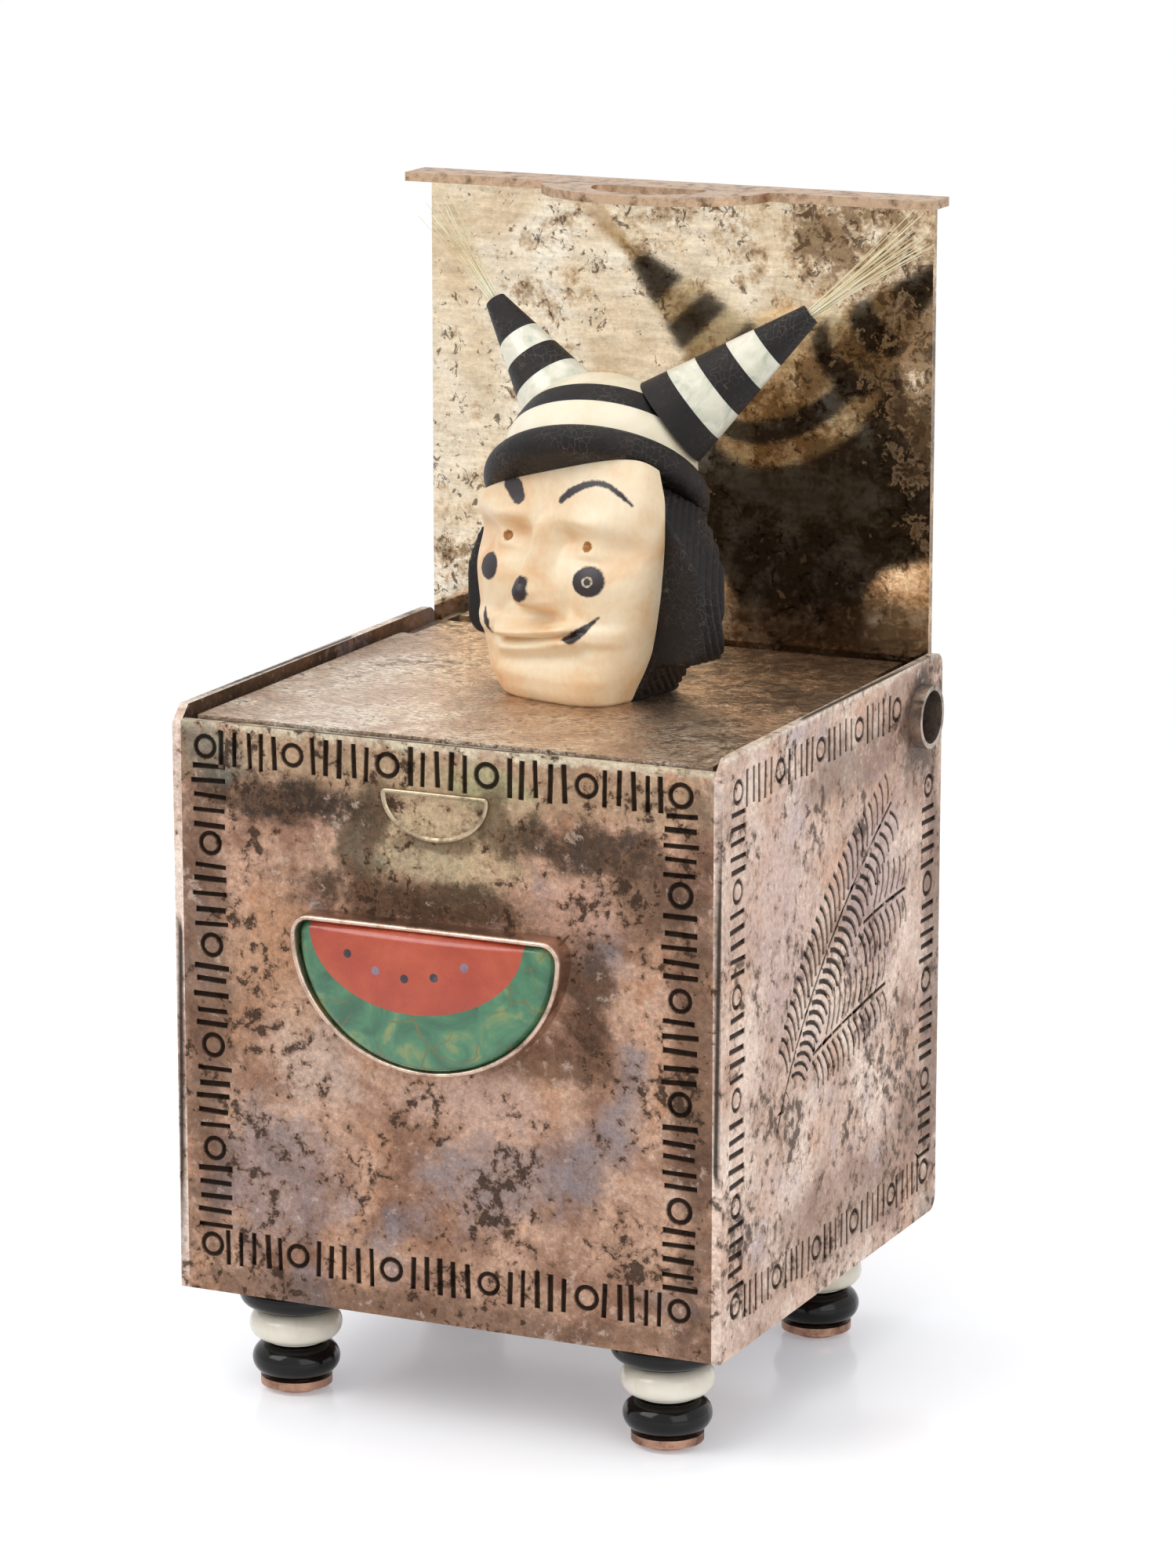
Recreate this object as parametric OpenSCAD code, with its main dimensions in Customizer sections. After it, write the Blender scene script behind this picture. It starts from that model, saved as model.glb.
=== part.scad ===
// Jack in the box: a footed silver box whose lid lets a striped clown head spring up on a platform.
// The box stands on z = 0, its front faces -Y. The lid is drawn open and the platform is up.

/* [Box] */
// Width over the two side walls
box_w = 57; // [50:0.5:70]
// Depth over the side walls
box_d = 54.6; // [50:0.2:66]
// Height of the side walls
box_h = 57.6; // [55:0.2:66]
// Thickness of all the silver sheet
sheet = 0.9; // [0.7:0.1:1.2]
// Cut across the top front corner of a side wall
corner_cut = 1.6; // [0.5:0.1:3]
// Radius of the rear corners of a side wall
corner_r = 1.5; // [0.5:0.1:3]
// Air between the front wall's top edge and the closed lid
rim_gap = 0.3; // [0.3:0.1:0.8]

/* [Lid hinge] */
// From the hinge axis to the lid's outer face
hinge_set = 5.5; // [5:0.1:7]
// Outer diameter of a hinge tube
tube_d = 6.3; // [5:0.1:7]
// Wall of a hinge tube
tube_wall = 0.5; // [0.4:0.1:0.8]
// How far a hinge tube stands out of the side wall
tube_proud = 1.15; // [0.6:0.05:2]
// Radial running clearance of an ear on its tube
ear_fit = 0.05; // [0.02:0.01:0.1]
// Width of metal round the hole of an ear
ear_rim = 0.8; // [0.6:0.1:0.9]
// Clearance between the lid's ends and the side walls
lid_gap = 0.3; // [0.3:0.05:0.6]

/* [Lid] */
// Depth of the flange along the lid's free edge
flange_depth = 4.5; // [3:0.1:5]
// Clearance between the closed flange and the front wall
flange_gap = 0.7; // [0.7:0.05:1.2]
// Width of the hasp tab
tab_w = 24; // [18:0.5:30]
// Depth of the hasp tab, from the lid's outer face
tab_depth = 12.8; // [12.4:0.1:14]
// Clearance round the catch in the hasp's slot
slot_gap = 0.4; // [0.3:0.05:0.8]

/* [Catch] */
// Width of the half-moon catch
catch_w = 11.2; // [8:0.2:13]
// Height of the half-moon catch
catch_h = 4.8; // [4:0.1:5.2]
// Relief of the catch on the front wall
catch_relief = 0.4; // [0.2:0.05:0.4]
// From the rim down to the catch's flat side
catch_drop = 5.7; // [5.4:0.1:6.2]
// Sideways place of the catch and the hasp
catch_x = -0.7; // [-3:0.1:3]

/* [Melon slice] */
// Width over the bezel
melon_w = 28.2; // [20:0.2:32]
// Height over the bezel
melon_h = 14.5; // [11:0.1:18]
// Height of the bezel's top edge above the box floor
melon_top = 39.4; // [30:0.1:42]
// Sideways place of the bezel
melon_x = -0.9; // [-5:0.1:5]
// Bezel strip thickness
bezel_wall = 0.6; // [0.5:0.1:1]
// How far the bezel stands out of the front wall
bezel_proud = 2.5; // [1.5:0.1:3]
// How far the stone's crown stands out of the front wall
stone_proud = 3.2; // [2.6:0.1:4]
// Radius of the stone's domed face
dome_r = 80; // [60:1:140]
// Width of the red flesh
flesh_w = 22.4; // [14:0.2:23]
// Height of the red flesh
flesh_h = 7.7; // [6:0.1:10]
// Sideways shift of the flesh in the slice
flesh_x = -0.9; // [-2:0.1:1]
// Radius of the flesh's top corners
flesh_corner = 0.3; // [0.2:0.1:1]
// Diameter of a seed
seed_d = 0.8; // [0.5:0.05:1.2]
// Number of seeds
seed_count = 5; // [3:1:7]
// Sideways shift of the seeds in the flesh
seed_shift = -0.7; // [-2:0.1:2]

/* [Feet] */
// Distance of the foot centres from the side walls' faces
foot_side = 8.6; // [7:0.1:12]
// Distance of the front foot centres from the front
foot_front = 7.4; // [7:0.1:12]
// Distance of the back foot centres from the back
foot_back = 10.4; // [7:0.1:14]
// Diameter of the upper black bead
upper_d = 11; // [8:0.1:12]
// Height of the upper black bead
upper_h = 2.8; // [2:0.1:4]
// Diameter of the white bead
white_d = 9.1; // [7:0.1:12]
// Height of the white bead
white_h = 3.5; // [2:0.1:5]
// Diameter of the lower black bead
lower_d = 8.6; // [7:0.1:12]
// Height of the lower black bead
lower_h = 3.6; // [2:0.1:5]
// Diameter of the foot washer
washer_d = 7; // [5:0.1:8]
// Thickness of the foot washer
washer_h = 0.8; // [0.5:0.1:1.2]
// Diameter of the rivet's foot head
rivet_head_d = 4.3; // [3:0.1:5]
// Height of the rivet's foot head
rivet_head_h = 0.6; // [0.4:0.1:1]
// Diameter of the rivet's shank
rivet_d = 1.7; // [1.2:0.1:2]

/* [Platform and spring] */
// Clearance between the platform and the walls
platform_gap = 0.9; // [0.5:0.1:1.4]
// Depth of the rim above the platform
platform_drop = 1; // [0.5:0.1:2]
// Wire diameter of the spring
wire_d = 1.1; // [0.8:0.1:1.2]
// Radius of the spring's bottom coil
coil_r_low = 20; // [18:0.5:22]
// Radius of the spring's top coil
coil_r_top = 9; // [8:0.5:12]
// Turns of the spring
coil_turns = 7; // [5:1:8]
// Height of the collars that hold the spring's ends
collar_h = 1.5; // [1:0.1:1.8]

/* [Head] */
// Sideways place of the head on the platform
head_x = 2; // [-2:0.1:4]
// Fore and aft place of the head on the platform
head_y = -1.5; // [-3:0.1:0]
// Turn of the head to the box's left
head_turn = 14; // [0:1:20]
// Half width of the face at the cheeks
face_half = 10.6; // [8:0.1:11]
// Depth of the face ahead of its seam with the hair
face_depth = 6; // [5:0.1:7]
// How far the nose stands out of the face
nose_len = 3.1; // [2:0.1:3.6]
// Half distance between the eyes
eye_half = 4.5; // [3.5:0.1:5.5]
// Height of the eyes above the platform
eye_up = 15.4; // [14:0.1:17]
// Height of the brow above the eyes
brow_over = 3; // [2:0.1:4]
// Half width over the nostrils' centres
nostril_half = 2; // [1:0.1:3]
// Height of the nostrils above the platform
nostril_up = 10.9; // [9:0.1:12]
// Half width of the hair lobes
hair_half = 14.6; // [12:0.1:16]
// Sideways shift of the hair behind the face
hair_x = 0.5; // [0:0.1:1]
// Depth of the hair behind the seam
hair_depth = 7.4; // [6:0.1:8]
// Height of the hair lobes' lower edge above the platform
lobe_low = 4.4; // [4:0.1:8]
// Diameter of the pin that holds the head
head_pin_d = 2.2; // [1.6:0.1:3]
// Depth of the pin's hole in the head
head_pin_up = 6; // [4:0.5:8]

/* [Hat] */
// Radius of the hat's dome
hat_r = 9.5; // [8:0.1:10]
// Radius of the brim's roll
roll_r = 1.5; // [1:0.1:1.7]
// Height of the hat's ring above the platform, at its centre
hat_up = 19.7; // [18.5:0.1:21]
// Backward tilt of the hat
hat_back = 38; // [34:1:45]
// Sideways tilt of the hat
hat_side = 9; // [4:0.2:14]
// Height of the lower white band's top above the ring
white_top = 4.6; // [4:0.1:5.4]
// Height of the black band's top above the ring
black_top = 7; // [6.4:0.1:8]

/* [Horns] */
// Diameter of a horn at its root
horn_d = 8.8; // [7:0.1:9]
// Diameter of a horn at its tip
horn_tip_d = 2.1; // [1.8:0.1:3]
// Right horn's tip from the head's middle: sideways
right_tip_x = 19.4; // [14:0.1:20]
// Left horn's tip from the head's middle: sideways
left_tip_x = -14; // [-18:0.1:-10]
// Both tips: backward from the head's middle
tip_y = 11; // [8:0.1:12]
// Right horn's tip above the hat's ring
right_tip_up = 16.9; // [12:0.1:18]
// Left horn's tip above the hat's ring
left_tip_up = 16.2; // [12:0.1:18]
// Length of the black tip
tip_len = 5.2; // [4:0.1:6]
// Length of a white band
white_len = 2.9; // [2:0.1:3.4]
// Length of the middle black band
mid_len = 3.2; // [2:0.1:3.6]
// Length of the right tuft of bristles
tuft_len = 13; // [8:0.5:13]
// Diameter of a tuft at its free end
tuft_d = 2.4; // [1.5:0.1:3]

/* [Hidden] */

$fn = 48;
eps = 0.01;

// Heights: the feet lift the box, and everything above is counted from the box's underside
foot_h = upper_h + white_h + lower_h + washer_h + rivet_head_h;
inside_x = box_w / 2 - sheet;
front_y = -box_d / 2;
back_face_y = box_d / 2 - sheet - 0.1;

// The hinge axis lies the same distance inside the back plane and below the rim
hinge_y = box_d / 2 - hinge_set;
hinge_z = box_h - hinge_set;
tube_r = tube_d / 2;
ear_r = tube_r + ear_fit + ear_rim;
ear_x = inside_x - lid_gap;
tube_in = ear_x - sheet - 0.4;

// The lid, drawn open: its outer face is the back plane and its free edge is up
lid_inner_y = box_d / 2 - sheet;
lid_tail_z = hinge_z - hinge_set + 0.1;
lid_top_z = hinge_z + hinge_y + box_d / 2 + flange_gap;

platform_z = box_h - platform_drop;
platform_under = platform_z - sheet;
platform_x = inside_x - platform_gap;
platform_back = back_face_y - sheet - 0.5;
notch_x = tube_in - 0.8;
notch_y = hinge_y - ear_r - 0.3;

// The feet, as [x, y] from the middle of the box
feet = [
    for (at_back = [0, 1], side = [-1, 1])
        [side * (box_w / 2 - foot_side),
         at_back == 1 ? box_d / 2 - foot_back : -box_d / 2 + foot_front]
];

// The hat's ring and the horns' ends, from the middle of the head on the platform
hat_at = [0.9, 2.3, hat_up];
dome_up = 0.21 * hat_r;
horn_roots = [[0.863, 0.632, 0.768] * hat_r + [0, 0, hat_up], [-0.516, 0.853, 0.663] * hat_r + [0, 0, hat_up]];
horn_tips = [[right_tip_x, tip_y, hat_up + right_tip_up], [left_tip_x, tip_y, hat_up + left_tip_up]];

// Middle of the whole model in plan, so that the origin lies below it
tuft_dir = (horn_tips[0] - horn_roots[0]) / norm(horn_tips[0] - horn_roots[0]);
tuft_side = tuft_d / 2 * sqrt(1 - tuft_dir[0] * tuft_dir[0]);
right_x = max(head_x + horn_tips[0][0] + tuft_len * tuft_dir[0] + tuft_side, box_w / 2 + tube_proud);
left_x = -box_w / 2 - tube_proud;
mid_x = (right_x + left_x) / 2;
mid_y = -stone_proud / 2;

module place() translate([-mid_x, -mid_y, foot_h]) children();

// ---- shapes that several pieces share ----

// A half-moon: flat side up on y = 0, corners rounded, the rest a half ellipse
function half_moon(w, h, r) = concat(
    [for (a = [180:-15:90]) [-w / 2 + r + r * cos(a), -r + r * sin(a)]],
    [for (a = [90:-15:0]) [w / 2 - r + r * cos(a), -r + r * sin(a)]],
    [for (a = [6:6:174]) [w / 2 * cos(a), -r - (h - r) * sin(a)]]
);

// A flat shape of the XZ plane, standing out from y = 0 towards the front
module forward(thickness) rotate([90, 0, 0]) linear_extrude(thickness) children();

// A sheet in the YZ plane, centred on x = 0
module side_sheet(thickness)
    rotate([90, 0, 90]) translate([0, 0, -thickness / 2]) linear_extrude(thickness) children();

// A bead with rounded rims and a bore, standing on z = 0
module bead(d, h, bore) {
    round_r = h / 2 * 0.9;
    rotate_extrude($fn = 64) difference() {
        union() {
            translate([0, (h - 2 * round_r) / 2]) square([d / 2 - round_r, 2 * round_r]);
            square([d / 2 - round_r, h]);
            translate([d / 2 - round_r, h / 2]) circle(round_r, $fn = 32);
        }
        translate([-h, -h]) square([h + bore / 2, 3 * h]);
    }
}

// ---- box ----

module floor_plate() color("#a48f84") difference() {
    translate([-inside_x, front_y + sheet, 0])
        cube([2 * inside_x, back_face_y - sheet - front_y - sheet, sheet]);
    for (f = feet) translate([f[0], f[1], -1]) cylinder(d = rivet_d, h = sheet + 2);
}

module front_wall() color("#b39a8c")
    translate([-inside_x, front_y, 0]) cube([2 * inside_x, sheet, box_h - sheet - rim_gap]);

// The back wall ends at the hinge line, so that the lid's tail can swing over it
module back_wall() color("#a48f84") difference() {
    translate([-inside_x, back_face_y - sheet, 0]) cube([2 * inside_x, sheet, hinge_z]);
    for (side = [-1, 1])
        translate([side * inside_x, back_face_y - sheet / 2, hinge_z])
            cube([2 * (inside_x - ear_x + sheet + 0.3), 2 * sheet, 2 * (ear_r + 0.4)], center = true);
}

// Outline of a side wall in the YZ plane: top front corner cut, rear corners round
module side_outline() polygon(concat(
    [[front_y, 0], [front_y, box_h - corner_cut], [front_y + corner_cut, box_h]],
    [for (a = [90:-15:0]) [box_d / 2 - corner_r + corner_r * cos(a), box_h - corner_r + corner_r * sin(a)]],
    [for (a = [0:-15:-90]) [box_d / 2 - corner_r + corner_r * cos(a), corner_r + corner_r * sin(a)]]
));

module side_wall(side) color("#b39a8c") difference() {
    translate([side * (box_w - sheet) / 2, 0, 0]) side_sheet(sheet) side_outline();
    translate([side * box_w / 2, hinge_y, hinge_z]) rotate([0, 90, 0])
        cylinder(r = tube_r, h = 4 * sheet, center = true);
}

module hinge_tube(side) color("#8d7a70")
    translate([side * tube_in, hinge_y, hinge_z]) rotate([0, side * 90, 0]) difference() {
        cylinder(r = tube_r, h = box_w / 2 + tube_proud - tube_in);
        translate([0, 0, -1]) cylinder(r = tube_r - tube_wall, h = box_w);
    }

module catch() color("#b9aa92")
    translate([catch_x, front_y, box_h - catch_drop]) forward(catch_relief)
        polygon(half_moon(catch_w, catch_h, 0.5));

// ---- melon slice ----

module melon_place() translate([melon_x, front_y, melon_top]) children();

module bezel() color("#c0aa9c") melon_place() forward(bezel_proud) difference() {
    polygon(half_moon(melon_w, melon_h, 2));
    translate([0, -bezel_wall])
        polygon(half_moon(melon_w - 2 * bezel_wall, melon_h - 2 * bezel_wall, 2 - bezel_wall));
}

// The stone's face is a shallow dome over the whole slice
module stone_face() intersection() {
    forward(stone_proud + 1) children();
    translate([0, dome_r - stone_proud, -melon_h / 2]) sphere(r = dome_r, $fn = 96);
}

module flesh_outline() translate([flesh_x, -bezel_wall]) polygon(half_moon(flesh_w, flesh_h, flesh_corner));

module melon_rind() color("#3f8f68") melon_place() stone_face() difference() {
    translate([0, -bezel_wall])
        polygon(half_moon(melon_w - 2 * bezel_wall, melon_h - 2 * bezel_wall, 2 - bezel_wall));
    flesh_outline();
    translate([flesh_x - flesh_w / 2, -bezel_wall - flesh_corner]) square([flesh_w, 2 * flesh_corner]);
}

// The seeds lie on an arc across the flesh, as [x, z] in the slice
seeds = [
    for (i = [0:seed_count - 1])
        let (a = -1 + 2 * i / (seed_count - 1))
            [flesh_x + seed_shift + a * flesh_w * 0.275, -bezel_wall - flesh_h * (0.56 - 0.22 * a * a)]
];

module seed_rods() for (s = seeds) translate([s[0], 0, s[1]]) rotate([90, 0, 0])
    cylinder(d = seed_d, h = stone_proud + 1, $fn = 24);

module melon_flesh() color("#c8452e") melon_place() difference() {
    stone_face() flesh_outline();
    translate([0, -stone_proud / 2, 0]) seed_rods();
}

module melon_seeds() color("#2a2020") melon_place() intersection() {
    translate([0, -stone_proud / 2, 0]) seed_rods();
    translate([0, dome_r - stone_proud, -melon_h / 2]) sphere(r = dome_r, $fn = 96);
}

// ---- feet ----

module upper_bead(n) color("#15120f")
    translate([feet[n][0], feet[n][1], -upper_h]) bead(upper_d, upper_h, rivet_d);

module white_bead(n) color("#e9e4d6")
    translate([feet[n][0], feet[n][1], -upper_h - white_h]) bead(white_d, white_h, rivet_d);

module lower_bead(n) color("#15120f")
    translate([feet[n][0], feet[n][1], -upper_h - white_h - lower_h]) bead(lower_d, lower_h, rivet_d);

module foot_washers() color("#a5735c")
    for (f = feet) translate([f[0], f[1], rivet_head_h - foot_h]) difference() {
        cylinder(d = washer_d, h = washer_h);
        translate([0, 0, -1]) cylinder(d = rivet_d, h = washer_h + 2);
    }

// A rivet runs from its head under the washer to the upset end on the floor plate
module foot_rivets() color("#a5735c")
    for (f = feet) translate([f[0], f[1], -foot_h]) union() {
        cylinder(d = rivet_head_d, h = rivet_head_h);
        cylinder(d = rivet_d, h = foot_h + sheet + 0.1);
        translate([0, 0, foot_h + sheet]) cylinder(d = 2 * rivet_d, h = 0.5);
    }

// ---- platform and spring ----

module spring_seat() color("#a48f84")
    translate([0, 0, sheet]) difference() {
        cylinder(r = coil_r_low + wire_d / 2 + 0.9, h = collar_h);
        translate([0, 0, -1]) cylinder(r = coil_r_low + wire_d / 2 + 0.2, h = collar_h + 2);
    }

// The wire's centre at turn t: closed end turns lie flat, the radius shrinks evenly
coil_low = sheet + wire_d / 2 + 0.05;
coil_top = platform_under - wire_d / 2 - 0.05;
function coil_rise(t) = min(1, max(0, (t - 0.7) / (coil_turns - 1.4)));
function coil_point(t) =
    let (r = coil_r_low + (coil_r_top - coil_r_low) * coil_rise(t))
        [r * cos(360 * t), r * sin(360 * t), coil_low + (coil_top - coil_low) * coil_rise(t)];

module coil_spring() {
    per_turn = 18;
    sides = 8;
    rings = per_turn * coil_turns;
    points = [
        for (i = [0:rings], s = [0:sides - 1])
            let (t = i / per_turn, a = 360 * s / sides)
                coil_point(t) + wire_d / 2
                    * [cos(a) * cos(360 * t), cos(a) * sin(360 * t), sin(a)]
    ];
    walls = [
        for (i = [0:rings - 1], s = [0:sides - 1])
            let (n = (s + 1) % sides)
                [i * sides + s, (i + 1) * sides + s, (i + 1) * sides + n, i * sides + n]
    ];
    start = [[for (s = [0:sides - 1]) s]];
    end = [[for (s = [sides - 1:-1:0]) rings * sides + s]];
    color("#9aa0a4") polyhedron(points, concat(walls, start, end), convexity = 10);
}

// The platform's rear is narrower, so that it passes between the hinge tubes
module platform() color("#b79f86") difference() {
    translate([0, 0, platform_under]) linear_extrude(sheet) polygon([
        [-platform_x, front_y + sheet + platform_gap], [platform_x, front_y + sheet + platform_gap],
        [platform_x, notch_y], [notch_x, notch_y], [notch_x, platform_back],
        [-notch_x, platform_back], [-notch_x, notch_y], [-platform_x, notch_y]
    ]);
    head_place() translate([0, hair_depth / 2, -2 * sheet]) cylinder(d = head_pin_d, h = 3 * sheet);
}

module spring_collar() color("#a48f84")
    translate([0, 0, platform_under - collar_h]) difference() {
        cylinder(r = coil_r_top - wire_d / 2 - 0.2, h = collar_h);
        translate([0, 0, -1]) cylinder(r = coil_r_top - wire_d / 2 - 1, h = collar_h + 2);
    }

// ---- head ----

module jack_place() translate([head_x, head_y, platform_z]) children();
module head_place() jack_place() rotate([0, 0, -head_turn]) children();
module hat_place() jack_place() translate(hat_at) rotate([-hat_back, -hat_side, 0]) children();

module head_pin() color("#a48f84") head_place() translate([0, hair_depth / 2, 0]) union() {
    translate([0, 0, -sheet]) cylinder(d = head_pin_d, h = sheet + head_pin_up - 0.2);
    translate([0, 0, -sheet - 0.6]) cylinder(d = 2 * head_pin_d, h = 0.6);
}

// Height, in the head's own turned frame, of the plane that the brim rests on
hat_axis = [-sin(hat_side) * cos(hat_back), sin(hat_back), cos(hat_side) * cos(hat_back)];
turned_axis = [
    hat_axis[0] * cos(head_turn) - hat_axis[1] * sin(head_turn),
    hat_axis[0] * sin(head_turn) + hat_axis[1] * cos(head_turn), hat_axis[2]
];
turned_at = [
    hat_at[0] * cos(head_turn) - hat_at[1] * sin(head_turn),
    hat_at[0] * sin(head_turn) + hat_at[1] * cos(head_turn), hat_at[2]
];
function brim_z(x, y) = turned_at[2]
    - (roll_r + turned_axis[0] * (x - turned_at[0]) + turned_axis[1] * (y - turned_at[1])) / turned_axis[2];

// Half width of the face at height z, as a share of the cheeks' half width
function face_width(z) = face_half * lookup(z, [
    [0, 0.62], [1.5, 0.69], [3, 0.77], [5, 0.855], [7.7, 0.91], [10.7, 0.955], [13.8, 0.985], [16, 1],
    [20, 1], [23, 0.93], [27, 0.76]
]);
// Depth of the face's middle line at height z, as a share of its full depth
function face_line(z) = face_depth * lookup(z, [
    [0, 0.9], [1, 1.02], [2.6, 1.08], [4.6, 0.99], [6, 1], [6.5, 1.1], [7.6, 1.1], [8.4, 0.99],
    [12, 0.98], [15.4, 0.84], [17, 0.9], [19, 0.86], [21, 0.76], [23.5, 0.58], [27, 0.3]
]);
function bump(x, z, sx, sz) = exp(-pow(x / sx, 2) - pow(z / sz, 2));
function nose_ridge(z) = lookup(z, [[9.6, 0], [10.6, 0.85], [11.8, 1], [14, 0.62], [17, 0.3], [19.5, 0]]);
// Nose, eye sockets, brow and temples as a change of depth at x, z
function relief(x, z) =
    nose_len * nose_ridge(z) * exp(-pow(x / (z < 12.6 ? 1.55 : 1.2), 2))
    + 0.9 * bump(abs(x) - nostril_half, z - nostril_up, 1, 1)
    - 0.9 * bump(abs(x) - eye_half, z - eye_up, 2.2, 1.5)
    + 0.5 * bump(abs(x) - eye_half, z - eye_up - brow_over, 3, 1)
    - 1.8 * bump(abs(x) - 0.82 * face_half, z - eye_up, 2.2, 1.7);

module face() {
    columns = 28;
    rows = 34;
    squareness = 0.6;
    // A point at column i of row j: the outline bulges forward from the seam plane y = 0
    function front_point(i, j) =
        let (a = -90 + 180 * i / columns,
             guess_z = hat_up * 1.1 * j / rows,
             x = face_width(guess_z) * sign(a) * pow(abs(sin(a)), squareness),
             y = -face_line(guess_z) * pow(abs(cos(a)), squareness),
             z = brim_z(x, y) * j / rows,
             x1 = face_width(z) * sign(a) * pow(abs(sin(a)), squareness),
             y1 = -face_line(z) * pow(abs(cos(a)), squareness) - relief(x1, z) * pow(abs(cos(a)), 0.5))
            [x1, i == 0 || i == columns ? 0 : y1, brim_z(x1, y1) * j / rows];
    points = [for (j = [0:rows], i = [0:columns]) front_point(i, j)];
    n = columns + 1;
    walls = [
        for (j = [0:rows - 1], i = [0:columns - 1])
            each [[j * n + i, (j + 1) * n + i, (j + 1) * n + i + 1],
                  [j * n + i, (j + 1) * n + i + 1, j * n + i + 1]]
    ];
    seam = [for (j = [0:rows - 1])
        each [[j * n, j * n + columns, (j + 1) * n + columns], [j * n, (j + 1) * n + columns, (j + 1) * n]]];
    bottom = [[for (i = [0:columns]) i]];
    top = [[for (i = [columns:-1:0]) rows * n + i]];
    color("#ecdcc0") head_place()
        polyhedron(points, concat(walls, seam, bottom, top), convexity = 10);
}

// Front view of the hair: a neck behind the jaw, then a lobe over each ear, each point of the lobe as its
// share of the half width and its height above the lobe's lower edge
hair_side = concat(
    [[face_half * 0.6, 0], [face_half * 0.7, lobe_low - 3], [face_half * 0.84, lobe_low - 0.8]],
    [for (p = [[0.93, 0], [0.985, 0.9], [1, 2.5], [1, 6], [0.975, 7.8], [0.92, 9.5], [0.81, 11.8], [0.7, 13.8], [0.6, 16.5]])
        [hair_half * p[0], lobe_low + p[1]]]
);

module hair() {
    low = [for (p = hair_side) [p[0], p[1]]];
    mirrored = [for (i = [len(hair_side) - 1:-1:0]) [-hair_side[i][0], hair_side[i][1]]];
    // Plan view: flat against the face, round at the back
    plan = concat(
        [[-hair_half, 0], [hair_half, 0]],
        [for (a = [0:7.5:180]) [hair_half * cos(a), hair_depth * (0.35 + 0.65 * pow(sin(a), 0.8))]]
    );
    color("#1d1a1c") difference() {
        head_place() translate([hair_x, 0, 0]) intersection() {
            translate([0, hair_depth, 0]) forward(hair_depth) polygon(concat(low, mirrored));
            linear_extrude(2 * hat_up) polygon(plan);
        }
        hat_place() translate([-3 * hat_r, -3 * hat_r, -roll_r]) cube(6 * hat_r);
        head_place() translate([0, hair_depth / 2, -1]) cylinder(d = head_pin_d, h = head_pin_up + 1);
    }
}

// ---- hat ----

// Radius of the hat's crown at height z above its ring
function crown_r(z) = z < dome_up ? hat_r : sqrt(max(0, pow(hat_r, 2) - pow(z - dome_up, 2)));

// A slice of the crown between two heights
module crown_slice(z0, z1) {
    steps = 12;
    rotate_extrude($fn = 64) polygon(concat(
        [[0, z0]],
        [for (i = [0:steps]) let (z = z0 + (z1 - z0) * i / steps) [crown_r(z), z]],
        z1 < dome_up + hat_r - eps ? [[0, z1]] : []
    ));
}

module hat_brim() color("#1d1a1c") hat_place() rotate_extrude($fn = 64) {
    translate([0, -roll_r]) square([hat_r, 2 * roll_r]);
    translate([hat_r, 0]) circle(roll_r, $fn = 32);
}

module hat_white_band() color("#efe6d4") hat_place() crown_slice(roll_r, white_top);
module hat_black_band() color("#1d1a1c") hat_place() crown_slice(white_top, black_top);
module hat_cap() color("#efe6d4") hat_place() crown_slice(black_top, dome_up + hat_r);

// ---- horns ----

// Lays +Z along the horn, with z = 0 at its tip end and the root at +Z
module horn_place(n) {
    run = horn_roots[n] - horn_tips[n];
    jack_place() translate(horn_tips[n])
        rotate([0, acos(run[2] / norm(run)), atan2(run[1], run[0])]) children();
}

function horn_len(n) = norm(horn_roots[n] - horn_tips[n]);
function horn_r(n, z) = horn_tip_d / 2 + (horn_d - horn_tip_d) / 2 * z / horn_len(n);

module horn_band(n, z0, z1) horn_place(n) translate([0, 0, z0])
    cylinder(r1 = horn_r(n, z0), r2 = horn_r(n, z1), h = z1 - z0);

horn_cuts = [0, tip_len, tip_len + white_len, tip_len + white_len + mid_len,
    tip_len + 2 * white_len + mid_len];

// The two white bands and the root shorten on the left horn, which is the shorter one
function horn_cut(n, k) = horn_cuts[k] * horn_len(n) / horn_len(0);

// The root is hollowed to sit on the hat's crown
module horn_root(n) color("#1d1a1c") difference() {
    horn_band(n, horn_cut(n, 4), horn_len(n) + 1.5);
    hat_place() union() {
        translate([0, 0, dome_up]) sphere(r = hat_r, $fn = 64);
        cylinder(r = hat_r, h = dome_up, $fn = 64);
    }
}

module horn_lower_band(n) color("#f1ebdf") difference() {
    horn_band(n, horn_cut(n, 3), horn_cut(n, 4));
    hat_place() translate([0, 0, dome_up]) sphere(r = hat_r, $fn = 64);
}
module horn_middle(n) color("#1d1a1c") horn_band(n, horn_cut(n, 2), horn_cut(n, 3));
module horn_upper_band(n) color("#f1ebdf") horn_band(n, horn_cut(n, 1), horn_cut(n, 2));
module horn_tip(n) color("#1d1a1c") horn_band(n, 0, horn_cut(n, 1));

// Bristles glued in the horn's end, as one plain cone
module tuft(n, length) color("#cbb98f") horn_place(n) rotate([180, 0, 0])
    cylinder(d1 = 1.2, d2 = tuft_d, h = length);

// ---- lid ----

module lid_plate() color("#cdb894")
    translate([-ear_x, lid_inner_y, lid_tail_z]) cube([2 * ear_x, sheet, lid_top_z - lid_tail_z]);

// Outline of the flange and its hasp tab, from the lid's outer face at y = 0 forward
flange_outline = concat(
    [[-box_w / 2, -flange_depth], [-box_w / 2, 0], [box_w / 2, 0], [box_w / 2, -flange_depth]],
    [for (a = [0:6:180])
        [catch_x + tab_w / 2 * cos(a), -flange_depth - (tab_depth - flange_depth) * sin(a)]]
);

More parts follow.
